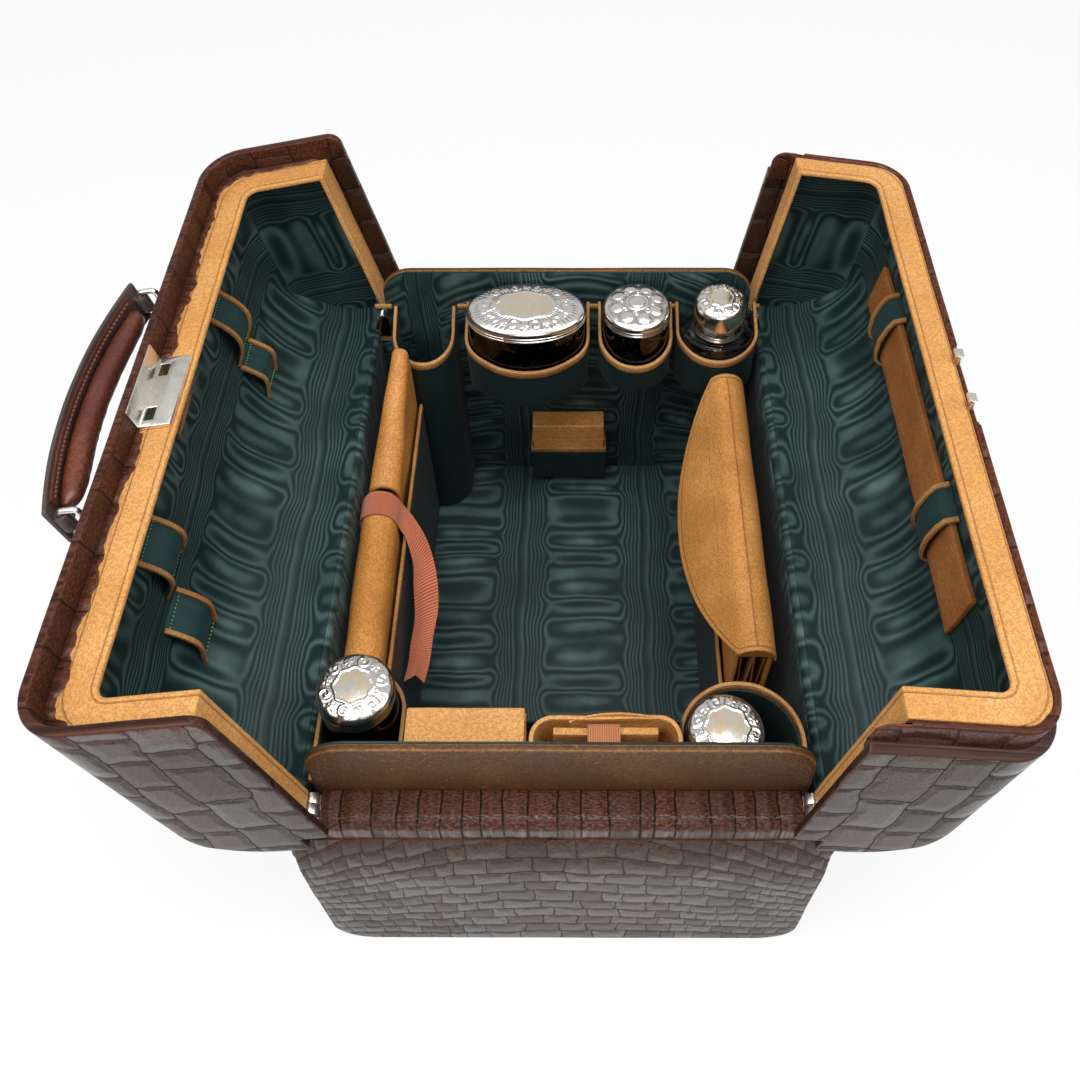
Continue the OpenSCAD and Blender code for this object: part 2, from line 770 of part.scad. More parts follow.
// Steel rim covered in tan leather: a foot along each cheek and an arch in the meeting plane
module rim_frame(face_u, off) {
    color(tan_hide) {
        both_ends() block([5, face_u - face_t], [rim_in_y, half_l - off], [0, face_t]);
        along_x(face_u - face_t, face_u) difference() {
            arch_profile(half_l - off, 0, leaf_h - off, shoulder_r - off);
            arch_profile(rim_in_y, -1, rim_in_v, rim_corner_r);
        }
    }
}
module left_rim_frame() {
    left_pose() difference() {
        rim_frame(face_left, shell_t);
        block([face_left - face_t - 1, face_left + 1],
            [middle_y - lock_l / 2, middle_y + lock_l / 2], [lock_v0, leaf_h]);
    }
}
module right_rim_frame() {
    off = shell_t + pass_gap + border_t;
    right_pose() {
        rim_frame(face_right, off);
    }
}

// Point on the lining at u, stood off it by off
function lining_at(u, off) =
    let (c = [roof_r - hinge_inset, leaf_h - roof_r], r = roof_r - shell_t - silk_t)
    u >= c[0] ? [u, lining_v - off] : c + (r - off) * [u - c[0], sqrt(r * r - pow(u - c[0], 2))] / r;
// A sewn loop: a strap that bows away from the lining between its two ends
module loop(u, y, bow) {
    steps = 12;
    outer = [for (i = [0:steps])
        lining_at(u[0] + (u[1] - u[0]) * i / steps, bow * sin(180 * i / steps))];
    inner = [for (i = [steps:-1:0])
        lining_at(u[0] + (u[1] - u[0]) * i / steps, loop_t + bow * sin(180 * i / steps))];
    along_y(y[0], y[1]) polygon(concat(outer, inner));
}
left_loop_u = [[58, 100], [24, 55], [66, 100], [24, 60]];
left_loop_y = [[88, 114], [88, 114], [-88, -58], [-106, -79]];
left_loop_bow = 10;
module left_loops() {
    color(silk) left_pose() for (i = [0:3])
        loop(left_loop_u[i], left_loop_y[i], left_loop_bow);
}
right_loop_y = [[94, 118], [-56, -31]];
module right_loops() {
    w = 2;
    drop = flat_t + 2 * loop_t + 2 * soft_gap;
    color(silk) right_pose() for (y = right_loop_y) difference() {
        block([flat_u[0] - w, flat_u[1] + w], y, [lining_v - drop, lining_v]);
        block([flat_u[0] - w + loop_t, flat_u[1] + w - loop_t], [y[0] - 1, y[1] + 1],
            [lining_v - drop + loop_t, lining_v + 1]);
    }
}
module flat_case() {
    color(tan_hide) right_pose()
        block(flat_u, flat_y, [lining_v - flat_t - soft_gap, lining_v - soft_gap]);
}

// Nickel lock case in the left rim: a box with a face plate, two slots and a flange up the lip
lip_in = leaf_h - shell_t;
flange_t = 1;
module lock_case() {
    color(nickel) left_pose() translate([0, middle_y, 0]) {
        difference() {
            block([lock_face - lock_depth, lock_face], [-lock_l / 2, lock_l / 2],
                [lock_v0, lip_in]);
            block([lock_face - lock_depth - 1, lock_face - lock_wall],
                [-lock_l / 2 + lock_wall, lock_l / 2 - lock_wall],
                [lock_v0 + lock_wall, lip_in - lock_wall]);
            for (s = [-1, 1])
                block([lock_face - lock_wall - 1, lock_face + 1],
                    [s * slot_y - slot_l / 2, s * slot_y + slot_l / 2],
                    [slot_v - slot_w / 2, slot_v + slot_w / 2]);
            button_slot(lip_in - 2, 3);
        }
        block([lock_face, lip_end - 1], [-lock_l / 2, lock_l / 2], [lip_in - flange_t, lip_in]);
    }
}
// Slot in the case's top wall that the button's stem runs in
stem_r = 1.5;
module button_slot(v0, h) {
    w = stem_r + 0.3;
    for (y = [0, bolt_travel])
        translate([lock_face - 7, y, v0]) cylinder(r = w, h = h);
    translate([lock_face - 7 - w, 0, v0]) cube([2 * w, bolt_travel, h]);
}
// Bolt with two fingers and the button that slides it
module lock_slide() {
    bar = [lock_face - 9, lock_face - 2.2];
    finger = [lock_face - 5, lock_face - 2.2];
    finger_w = 3;
    bar_top = lock_v0 + 9;
    y0 = [for (s = [-1, 1]) s * slot_y - slot_l / 2 - finger_w];
    color(nickel) left_pose() translate([0, middle_y, 0]) {
        block(bar, [y0[0], y0[1] + finger_w], [lock_v0 + 4, bar_top]);
        for (y = y0)
            block(finger, [y, y + finger_w], [bar_top, hook_v - hook_t / 2 - seat_gap]);
        translate([lock_face - 7, 0, 0]) {
            translate([0, 0, bar_top]) cylinder(r = stem_r, h = leaf_h + 1 - bar_top);
            translate([0, 0, leaf_h + 0.3]) cylinder(r = 4, h = 3);
        }
    }
}
module lock_hooks() {
    tip = face_right + hook_reach;
    color(nickel) right_pose() translate([0, middle_y, 0]) for (s = [-1, 1]) {
        y = [s * slot_y - 3, s * slot_y + 3];
        block([face_right, tip], y, [hook_v - hook_t / 2, hook_v + hook_t / 2]);
        block([tip - barb_t, tip], y, [hook_v - hook_t / 2 - barb_h, hook_v]);
    }
}

// Both ends of the handle about its own middle
module handle_pair() translate([0, middle_y, 0]) both_ends() children();
// Leather-covered lugs on the roof that the rings' pivots turn in
module handle_chapes() {
    y0 = ring_y + ring_bar_r + chape_gap;
    half = pivot_r + 2.6;
    color(grip_brown) left_pose() handle_pair() difference() {
        union() {
            block([chape_u - half, chape_u + half], [y0, y0 + chape_l], [leaf_h, pivot_v]);
            translate([chape_u, y0, pivot_v]) rotate([-90, 0, 0]) cylinder(r = half, h = chape_l);
        }
        translate([chape_u, y0 - 1, pivot_v]) rotate([-90, 0, 0])
            cylinder(r = pivot_r + run_fit, h = chape_l + 2);
    }
}
// A square ring on a short neck; its pivot points outward along the case
module ring() {
    bend = 2.8;
    flat = ring_half - bend;
    translate([chape_u, ring_y, pivot_v]) {
        rotate([-90, 0, 0]) cylinder(r = pivot_r, h = ring_bar_r + chape_gap + chape_l);
        cylinder(r = ring_bar_r, h = ring_neck);
        translate([0, 0, ring_neck]) {
            for (v = [0, ring_rise]) translate([-flat, 0, v]) rotate([0, 90, 0])
                cylinder(r = ring_bar_r, h = 2 * flat);
            for (e = [-1, 1]) translate([e * ring_half, 0, bend])
                cylinder(r = ring_bar_r, h = ring_rise - 2 * bend);
            for (e = [-1, 1], v = [bend, ring_rise - bend])
                translate([e * flat, 0, v]) rotate([90, 0, 0])
                    rotate([0, 0, v == bend ? (e > 0 ? -90 : 180) : (e > 0 ? 0 : 90)])
                        rotate_extrude(angle = 90, $fn = 32) translate([bend, 0])
                            circle(ring_bar_r, $fn = 32);
        }
    }
}
module handle_rings() color(nickel) left_pose() handle_pair() ring();

// Puts an arch about the handle's centre line: children sit at radius zero, angle zero on top
module on_arch() {
    translate([chape_u, middle_y, band_end_v + arch_rise - arch_r]) rotate([0, -90, 0]) children();
}
module handle_band() {
    end_w = 2 * (ring_half - ring_bar_r) - 1.6;
    color(grip_brown) left_pose() {
        on_arch() rotate([0, 0, -arch_angle]) rotate_extrude(angle = 2 * arch_angle, $fn = 128)
            translate([arch_r, -band_w / 2]) square([band_t, band_w]);
        // The band's ends turn round the rings' upper bars
        handle_pair() translate([chape_u - end_w / 2, ring_y, ring_top_v]) rotate([0, 90, 0])
            difference() {
                cylinder(r = ring_bar_r + band_t, h = end_w);
                translate([0, 0, -1]) cylinder(r = ring_bar_r, h = end_w + 2);
            }
    }
}
module handle_grip() {
    grip_angle = arch_angle - 4.5;
    color(croc_red) left_pose() on_arch() rotate([0, 0, -grip_angle])
        rotate_extrude(angle = 2 * grip_angle, $fn = 128)
            translate([arch_r - grip_r - 0.1, 0]) circle(grip_r);
}

// Hollow glass body with a smooth neck for its lid
module vessel(z0, z1, neck_z) {
    difference() {
        union() {
            translate([0, 0, z0]) linear_extrude(z1 - z0) children(0);
            translate([0, 0, z0]) linear_extrude(neck_z - z0) children(1);
        }
        translate([0, 0, z0 + 2 * glass_t]) linear_extrude(far_out) children(2);
    }
}
// Cap with a turned-down skirt and a stepped crown
module cap(z0, z1) {
    step = (z1 - z0) / 4;
    difference() {
        union() {
            translate([0, 0, z0]) linear_extrude(2 * step) children(0);
            translate([0, 0, z0]) linear_extrude(3 * step) children(1);
            translate([0, 0, z0]) linear_extrude(4 * step) children(2);
        }
        translate([0, 0, z0 - 1]) linear_extrude(neck_h + 1.4) children(3);
        translate([0, 0, z0 - 1]) linear_extrude(z1 - z0 + 1 - silver_t) children(4);
    }
}
oval_neck = far_top - lid_h + neck_h;
module oval_box_glass() {
    color(glass) vessel(oval_base, far_top - lid_h - 0.3, oval_neck) {
        oval_plan(0);
        oval_plan(-1.6);
        oval_plan(-1.6 - glass_t);
    }
}
module oval_box_lid() {
    color(silver) cap(far_top - lid_h, far_top) {
        oval_plan(0.6);
        oval_plan(-1.2);
        oval_plan(-3.4);
        oval_plan(-1.6 + lid_fit);
        oval_plan(-3.4 - silver_t);
    }
}
module jar_glass() {
    color(glass) vessel(jar_base, far_top - lid_h - 0.3, oval_neck) {
        jar_plan(0);
        jar_plan(-1.6);
        jar_plan(-1.6 - glass_t);
    }
}
module jar_lid() {
    color(silver) cap(far_top - lid_h, far_top) {
        jar_plan(0.6);
        jar_plan(-1);
        jar_plan(-4);
        jar_plan(-1.6 + lid_fit);
        jar_plan(-4 - silver_t);
    }
}
scent_neck_r = 9;
scent_neck_h = 9;
module scent_axis() translate([scent_x, scent_y, 0]) children();
module scent_bottle() {
    bore_r = 5;
    color(glass) difference() {
        union() {
            translate([0, 0, scent_base]) linear_extrude(scent_shoulder - scent_base - 4)
                scent_plan(0);
            translate([0, 0, scent_base]) linear_extrude(scent_shoulder - scent_base - 2)
                scent_plan(-3);
            translate([0, 0, scent_base]) linear_extrude(scent_shoulder - scent_base)
                scent_plan(-7);
            scent_axis() translate([0, 0, scent_base])
                cylinder(r = scent_neck_r, h = scent_shoulder - scent_base + scent_neck_h);
        }
        translate([0, 0, scent_base + 5])
            linear_extrude(scent_shoulder - scent_base - 13) scent_plan(-6);
        scent_axis() translate([0, 0, scent_shoulder - 12]) cylinder(r = bore_r, h = 40);
    }
}
module scent_cap() {
    z0 = scent_shoulder + 0.3;
    color(silver) scent_axis() translate([0, 0, z0]) difference() {
        rotate_extrude() dome_profile(cap_r, scent_top - z0, 9);
        translate([0, 0, -1]) cylinder(r = scent_neck_r + lid_fit, h = scent_neck_h + 1.4);
    }
}
// Half section of a low dome on a short skirt
module dome_profile(r, h, rise) {
    skirt = h - rise;
    dome_r = (r * r + pow(h - skirt, 2)) / (2 * (h - skirt));
    square([r, skirt]);
    intersection() {
        translate([0, h - dome_r]) circle(dome_r, $fn = 96);
        translate([0, skirt - eps]) square([r, h]);
    }
}
module bottle(d, z0, z1) {
    shoulder = z1 - bottle_lid_h - 0.3;
    neck_r = d / 2 - 3;
    difference() {
        union() {
            translate([0, 0, z0]) cylinder(r = d / 2, h = shoulder - z0);
            translate([0, 0, z0]) cylinder(r = neck_r, h = shoulder + neck_h - z0);
        }
        translate([0, 0, z0 + 2 * glass_t]) cylinder(r = neck_r - glass_t, h = far_out);
    }
}
module bottle_lid(d, z1) {
    neck_r = d / 2 - 3;
    translate([0, 0, z1 - bottle_lid_h]) difference() {
        rotate_extrude() dome_profile(d / 2 + 0.6, bottle_lid_h, 4);
        translate([0, 0, -1]) cylinder(r = neck_r + lid_fit, h = neck_h + 1.3);
        translate([0, 0, neck_h]) rotate_extrude()
            dome_profile(neck_r - 1, bottle_lid_h - neck_h - silver_t, 3.4);
    }
}
module tall_bottle() color(glass) translate([tall_x, tall_y, 0]) bottle(tall_d, tall_base, tall_top);
module tall_bottle_lid() color(silver) translate([tall_x, tall_y, 0]) bottle_lid(tall_d, tall_top);
module short_bottle()
    color(glass) translate([short_x, short_y, 0]) bottle(short_d, short_base, short_top);
module short_bottle_lid()
    color(silver) translate([short_x, short_y, 0]) bottle_lid(short_d, short_top);

module small_leather_box() {
    color(tan_hide) block([-small_box[0] / 2, small_box[0] / 2],
        [wall_y - 0.6 - small_box[1], wall_y - 0.6], [small_box_z, small_box_z + small_box[2]]);
}
module near_leather_box() {
    color(tan_hide) block([near_box_x - near_box[0] / 2 + 0.6, near_box_x + near_box[0] / 2],
        [-wall_y + 0.6, -wall_y + 0.6 + near_box[1]], [near_box_top - near_box[2], near_box_top]);
}
// Leather wrapped round in an oval, with stiff leaves inside it
module stadium(l, d) {
    square([l - d, d], center = true);
    for (e = [-1, 1]) translate([e * (l - d) / 2, 0]) circle(d / 2);
}
module folded_case() {
    inner = [folded[0] - 2 * folded_wall, folded[1] - 2 * folded_wall];
    leaf_w = inner[0] - inner[1];
    leaf_d = inner[1] / 5;
    color(tan_hide) translate([folded_x, -wall_y + 0.6 + folded[1] / 2, case_pocket_floor]) {
        difference() {
            linear_extrude(folded[2]) stadium(folded[0], folded[1]);
            translate([0, 0, folded_wall]) linear_extrude(folded[2]) stadium(inner[0], inner[1]);
        }
        for (e = [-1, 1]) linear_extrude(folded[2] - 3)
            translate([-leaf_w / 2, e * leaf_d * 1.2 - leaf_d / 2]) square([leaf_w, leaf_d]);
    }
}
// A leather roll standing on edge: round along the top, flat sides
// Each end is given as x, y, top and radius
module standing_roll(a, b) {
    hull() for (p = [a, b]) {
        translate([p[0], p[1], p[2] - p[3]]) rotate([90, 0, 0])
            cylinder(r = p[3], h = 1, center = true, $fn = hull_fn);
        block([p[0] - p[3], p[0] + p[3]], [p[1] - 0.5, p[1] + 0.5], [roll_base, p[2] - p[3]]);
    }
}
far_roll = [[-115 - out_x, 127 + out_y, 198, 5.5], [-122 - out_x, 40, 158, 11]];
near_roll = [[-123 - out_x, 34, 160, 12], [-121 - out_x, -84 - out_y, 158, 12]];
module far_roll_case() color(tan_hide) standing_roll(far_roll[0], far_roll[1]);
module near_roll_case() color(tan_hide) standing_roll(near_roll[0], near_roll[1]);

// Stretch of ribbon between two edges, each given by its two corners
module ribbon_strip(a, b) {
    hull() for (p = concat(a, b)) translate(p) cube(0.8, center = true);
}
module ribbon() {
    w = 17;
    y0 = 15;
    wrap_r = near_roll[0][3] + 0.5;
    x0 = near_roll[0][0] + 0.4;
    z0 = near_roll[0][2] - near_roll[0][3];
    side = x0 + wrap_r;
    past = side_pocket_x;
    tail = [
        [[side + 0.3, y0 + w, z0], [side + 0.3, y0, z0]],
        [[past + 3, y0 + 12, z0 - 4.5], [past + 3, y0 - 7, z0 - 5]],
        [[past + 19, y0 - 13, z0 - 32], [past + 5.5, y0 - 23, z0 - 33]],
        [[past + 21, y0 - 48, z0 - 46], [past + 7, y0 - 51, z0 - 48]],
        [[past + 17, y0 - 90, z0 - 52], [past + 4, y0 - 86, z0 - 54]]
    ];
    color(rust) {
        // Band over the roll's top
        translate([x0, y0 + w, z0]) rotate([90, 0, 0]) linear_extrude(w) difference() {
            circle(wrap_r + 0.7);
            circle(wrap_r);
            translate([-far_out, -2 * far_out]) square(2 * far_out);
        }
        for (i = [0:3]) ribbon_strip(tail[i], tail[i + 1]);
    }
}

module wallet_body() {
    r = (wallet_x[1] - wallet_x[0]) / 2 - flap_t - seat_gap;
    mid = (wallet_x[0] + wallet_x[1]) / 2;
    top = wallet_z[1] - flap_t - seat_gap;
    wall = 2.4;
    color(tan_hide) along_y(wallet_y[0] + 2, wallet_y[1] - 2) difference() {
        union() {
            translate([mid - r, wallet_z[0]]) square([2 * r, top - r - wallet_z[0]]);
            translate([mid, top - r]) circle(r);
        }
        translate([mid - r + wall, wallet_z[0] + wall])
            square([2 * (r - wall), top - r - wallet_z[0] - wall]);
    }
}
// Cover over the wallet's top and a curved tongue that flares toward the middle
module wallet_flap() {
    r = (wallet_x[1] - wallet_x[0]) / 2;
    mid = (wallet_x[0] + wallet_x[1]) / 2;
    cz = wallet_z[1] - r;
    cy = (wallet_y[0] + wallet_y[1]) / 2;
    half = (wallet_y[1] - wallet_y[0]) / 2;
    bow = (half * half + flap_reach * flap_reach) / (2 * flap_reach);
    lean = 90 - flap_angle;
    color(tan_hide) {
        translate([mid, wallet_y[1], cz]) rotate([90, 0, 0])
            linear_extrude(2 * half) difference() {
                circle(r);
                circle(r - flap_t);
                translate([-far_out, -2 * far_out]) square(2 * far_out);
                rotate(180 - lean) square([far_out, far_out]);
            }
        translate([mid, cy, cz]) rotate([0, -flap_angle, 0]) tongue(r, half, bow);
    }
}
// The tongue lies along the tangent where the cover ends, its edges pared a little
module tongue(r, half, bow) {
    skive = 0.15;
    mirror([1, 0, 0]) translate([0, 0, r - flap_t + skive]) linear_extrude(flap_t - 2 * skive)
        intersection() {
            translate([flap_reach - bow, 0]) circle(bow, $fn = 128);
            translate([-1, -half]) square([flap_reach + 1, 2 * half]);
        }
}

base_board();
side_panel_left();
side_panel_right();
end_panel_near();
end_panel_far();
end_rails();
seam_welts();
body_lining();
end_board_near();
end_board_far();
leather_gusset_left();
leather_gusset_right();
lining_gusset_left();
lining_gusset_right();
oval_box_pocket();
jar_pocket();
scent_pocket();
empty_pocket();
leather_box_pockets();
bottle_pockets();
side_pockets();
pocket_edging();
body_hinge_leaves();
hinge_pins();
left_leaf_shell();
left_leaf_lining();
left_rim_frame();
left_hinge_leaves();
left_loops();
lock_case();
lock_slide();
handle_chapes();
handle_rings();
handle_band();
handle_grip();
right_leaf_shell();
right_leaf_lining();
right_rim_frame();
right_hinge_leaves();
right_loops();
lock_hooks();
flat_case();
oval_box_glass();
oval_box_lid();
jar_glass();
jar_lid();
scent_bottle();
scent_cap();
tall_bottle();
tall_bottle_lid();
short_bottle();
short_bottle_lid();
small_leather_box();
near_leather_box();
folded_case();
far_roll_case();
near_roll_case();
ribbon();
wallet_body();
wallet_flap();
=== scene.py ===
"""Looks of the fitted dressing case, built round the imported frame.

Every length is in metres in the frame's own axes: X across the case, Y away from
the viewer along its length, Z up. Each roof leaf also has its own axes: u toward
the meeting edge, y along the case and v up from the hinge line of the shut leaf.
"""

import json
import logging
import math
from collections.abc import Callable, Iterable, Sequence
from dataclasses import dataclass, field
from enum import Enum

import bmesh
import bpy
from mathutils import Matrix, Vector, noise


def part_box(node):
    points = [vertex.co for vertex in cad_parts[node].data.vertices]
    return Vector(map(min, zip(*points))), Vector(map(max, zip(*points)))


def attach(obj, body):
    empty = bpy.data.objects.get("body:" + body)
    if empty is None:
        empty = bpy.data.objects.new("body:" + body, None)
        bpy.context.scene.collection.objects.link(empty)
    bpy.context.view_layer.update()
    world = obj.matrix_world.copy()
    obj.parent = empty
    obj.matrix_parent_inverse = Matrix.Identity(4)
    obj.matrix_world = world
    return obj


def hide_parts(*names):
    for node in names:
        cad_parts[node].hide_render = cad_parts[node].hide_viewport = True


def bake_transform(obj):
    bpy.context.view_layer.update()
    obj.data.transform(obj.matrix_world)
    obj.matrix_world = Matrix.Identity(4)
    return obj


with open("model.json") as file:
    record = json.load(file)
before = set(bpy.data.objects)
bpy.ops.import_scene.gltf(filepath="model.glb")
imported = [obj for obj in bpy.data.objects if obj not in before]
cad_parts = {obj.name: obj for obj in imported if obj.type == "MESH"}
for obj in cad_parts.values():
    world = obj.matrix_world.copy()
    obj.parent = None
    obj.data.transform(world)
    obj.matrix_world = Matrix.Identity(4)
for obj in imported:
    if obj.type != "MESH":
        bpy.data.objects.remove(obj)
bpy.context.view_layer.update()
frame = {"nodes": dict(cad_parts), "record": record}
log = logging.getLogger("dressing_case")

MM = 0.001
HINGE_X = 0.130
HINGE_Z = 0.1815
HALF_W = 0.143
HALF_L = 0.2005
LEAF_H = 0.0785
ROOF_R = 0.0618
LEAF_INSET = 0.013
RIM_U = 0.127
LIP_U = {"left": 0.1425, "right": 0.1297}
FAR_TOP = 0.227

BODY_OF = {
    node: body
    for body, nodes in frame["record"]["behaviour"]["bodies"].items()
    for node in nodes
}
Mapping = Callable[[Vector, Vector], tuple[float, float]]


class Slot(Enum):
    """The record's material slots."""

    CROCODILE = "crocodile"
    CROCODILE_RED = "crocodile_red"
    HANDLE = "handle_leather"
    TAN = "tan_leather"
    BOARD = "board_leather"
    SILK = "moire_silk"
    RIBBON = "ribbon"
    NICKEL = "nickel"
    SILVER = "silver"
    GLASS = "glass"


# ---------------------------------------------------------------- node wiring
class Wiring:
    """A node tree while it is being wired."""

    def __init__(self, tree: bpy.types.NodeTree) -> None:
        """Keeps the tree that the nodes go into."""
        self.tree = tree

    def add(self, kind: str, values: dict | None = None, **settings: object) -> bpy.types.Node:
        """Adds a node.

        Args:
            kind: The node's type, without the ShaderNode prefix.
            values: Input name or index to a constant or a socket to link from.
            settings: Properties of the node itself.

        Returns:
            The new node.
        """
        node = self.tree.nodes.new("ShaderNode" + kind)
        for name, value in settings.items():
            setattr(node, name, value)
        for name, value in (values or {}).items():
            if isinstance(value, bpy.types.NodeSocket):
                self.tree.links.new(value, node.inputs[name])
            else:
                node.inputs[name].default_value = value
        return node

    def math(self, operation: str, *args: object, clamp: bool = False) -> bpy.types.NodeSocket:
        """Applies a Math node to its arguments and returns the result's socket."""
        node = self.add("Math", dict(enumerate(args)), operation=operation, use_clamp=clamp)
        return node.outputs[0]

    def vector(self, operation: str, *args: object, scale: object = None) -> bpy.types.NodeSocket:
        """Applies a Vector Math node and returns the result's socket."""
        values = dict(enumerate(args))
        if scale is not None:
            values["Scale"] = scale
        return self.add("VectorMath", values, operation=operation).outputs[0]

    def mix(self, factor: object, a: object, b: object, blend: str = "MIX") -> bpy.types.NodeSocket:
        """Mixes two colours by a factor and returns the colour's socket."""
        node = self.add("Mix", {0: factor, 6: a, 7: b}, data_type="RGBA", blend_type=blend)
        return node.outputs[2]

    def step(self, value: object, low: float, high: float,
             to_low: float = 0.0, to_high: float = 1.0) -> bpy.types.NodeSocket:
        """Runs a value smoothly from one range into another and returns its socket."""
        node = self.add("MapRange", {0: value, 1: low, 2: high, 3: to_low, 4: to_high},
                        interpolation_type="SMOOTHSTEP")
        return node.outputs[0]

    def noise(self, where: object, scale: float, detail: float = 2.0,
              roughness: float = 0.5) -> bpy.types.Node:
        """Adds a Noise Texture at the given coordinates."""
        return self.add("TexNoise", {"Vector": where, "Scale": scale, "Detail": detail,
                                     "Roughness": roughness})

    def group(self, tree: bpy.types.NodeTree, **values: object) -> bpy.types.Node:
        """Places a shader node group with its values by input name."""
        node = self.tree.nodes.new("ShaderNodeGroup")
        node.node_tree = tree
        for name, value in values.items():
            name = name.replace("_", " ")
            if isinstance(value, bpy.types.NodeSocket):
                self.tree.links.new(value, node.inputs[name])
            else:
                node.inputs[name].default_value = value
        return node


class Effects:
    """The shared shader node groups, each built once."""

    def __init__(self) -> None:
        """Builds every group."""
        self.scales = self._scales()
        self.grain = self._grain()
        self.silk = self._silk()
        self.wear = self._wear()
        self.patches = self._patches()

    @staticmethod
    def _open(name: str, inputs: Sequence[tuple[str, str, object]],
              outputs: Sequence[str]) -> tuple[Wiring, bpy.types.Node, bpy.types.Node]:
        """Opens a group with its named sockets.

        Args:
            name: The group's name.
            inputs: Name, socket type and default of each input.
            outputs: Names of the outputs, all of them plain values.

        Returns:
            The wiring, the input node and the output node.
        """
        tree = bpy.data.node_groups.new(name, "ShaderNodeTree")
        for label, kind, default in inputs:
            socket = tree.interface.new_socket(name=label, in_out="INPUT",
                                               socket_type="NodeSocket" + kind)
            if default is not None:
                socket.default_value = default
        for label in outputs:
            tree.interface.new_socket(name=label, in_out="OUTPUT", socket_type="NodeSocketFloat")
        return (Wiring(tree), tree.nodes.new("NodeGroupInput"), tree.nodes.new("NodeGroupOutput"))

    def _scales(self) -> bpy.types.NodeTree:
        """Rows of crocodile scales: cells along the chart's x, rows along its y."""
        w, src, out = self._open("crocodile_scales", [
            ("Chart", "Vector", None), ("Length", "Float", 0.028), ("Width", "Float", 0.017),
            ("Groove", "Float", 0.0007), ("Disorder", "Float", 0.011)],
            ["Scale", "Height", "Tone", "Crease"])
        chart = src.outputs["Chart"]
        drift = w.noise(chart, 36.0, 2.0)
        shift = w.vector("SCALE", w.vector("SUBTRACT", drift.outputs["Color"], (0.5, 0.5, 0.5)),
                         scale=src.outputs["Disorder"])
        fine = w.noise(chart, 140.0, 3.0)
        jag = w.vector("SCALE", w.vector("SUBTRACT", fine.outputs["Color"], (0.5, 0.5, 0.5)),
                       scale=0.0016)
        parts = w.add("SeparateXYZ", {0: w.vector("ADD", w.vector("ADD", chart, shift), jag)})
        swing = w.noise(chart, 11.0, 1.0).outputs["Fac"]
        row_at = w.math("ADD", w.math("DIVIDE", parts.outputs["Y"], src.outputs["Width"]),
                        w.math("MULTIPLY", w.math("SUBTRACT", swing, 0.5),
                               w.math("MULTIPLY", src.outputs["Disorder"], 140.0)))
        row = w.math("FLOOR", row_at)
        along = w.math("ADD", w.math("DIVIDE", parts.outputs["X"], src.outputs["Length"]),
                       w.math("MULTIPLY", row, 7.37))
        edge = w.add("TexVoronoi", {"W": along, "Scale": 1.0, "Randomness": 0.9},
                     voronoi_dimensions="1D", feature="DISTANCE_TO_EDGE")
        cell = w.add("TexVoronoi", {"W": along, "Scale": 1.0, "Randomness": 0.9},
                     voronoi_dimensions="1D", feature="F1")
        across = w.math("MULTIPLY", edge.outputs["Distance"], src.outputs["Length"])
        side = w.math("MULTIPLY", src.outputs["Width"], w.math(
            "SUBTRACT", 0.5, w.math("ABSOLUTE", w.math("SUBTRACT", w.math("FRACT", row_at), 0.5))))
        near = w.math("SMOOTH_MIN", across, side, 0.0034)
        groove = w.add("MapRange", {0: near, 1: 0.0, 2: src.outputs["Groove"], 3: 0.0, 4: 1.0},
                       interpolation_type="SMOOTHSTEP").outputs[0]
        pillow = w.step(near, 0.0, 0.0062)
        stretch = w.vector("MULTIPLY", chart, (1.0, 2.6, 1.0))
        crease = w.noise(stretch, 420.0, 4.0, 0.65).outputs["Fac"]
        height = w.math("ADD", w.math("MULTIPLY", pillow, 0.55),
                        w.math("ADD", w.math("MULTIPLY", groove, 0.35),
                               w.math("MULTIPLY", crease, 0.13)))
        tone = w.add("SeparateColor", {0: cell.outputs["Color"]}).outputs[0]
        for name, value in (("Scale", groove), ("Height", height), ("Tone", tone),
                            ("Crease", crease)):
            w.tree.links.new(value, out.inputs[name])
        return w.tree

    def _grain(self) -> bpy.types.NodeTree:
        """Pebbled leather grain with pores."""
        w, src, out = self._open("leather_grain", [
            ("Vector", "Vector", None), ("Size", "Float", 0.0009)], ["Height", "Tone"])
        scale = w.math("DIVIDE", 1.0, src.outputs["Size"])
        pebble = w.add("TexVoronoi", {"Vector": src.outputs["Vector"], "Scale": scale,
                                      "Randomness": 0.9}, feature="SMOOTH_F1")
        hair = w.add("TexNoise", {"Vector": src.outputs["Vector"], "Detail": 4.0,
                                  "Scale": w.math("MULTIPLY", scale, 0.45)})
        bump = w.math("SUBTRACT", 1.0, pebble.outputs["Distance"])
        height = w.math("ADD", w.math("MULTIPLY", bump, 0.7),
                        w.math("MULTIPLY", hair.outputs["Fac"], 0.6))
        w.tree.links.new(height, out.inputs["Height"])
        w.tree.links.new(w.step(height, 0.60, 0.90), out.inputs["Tone"])
        return w.tree

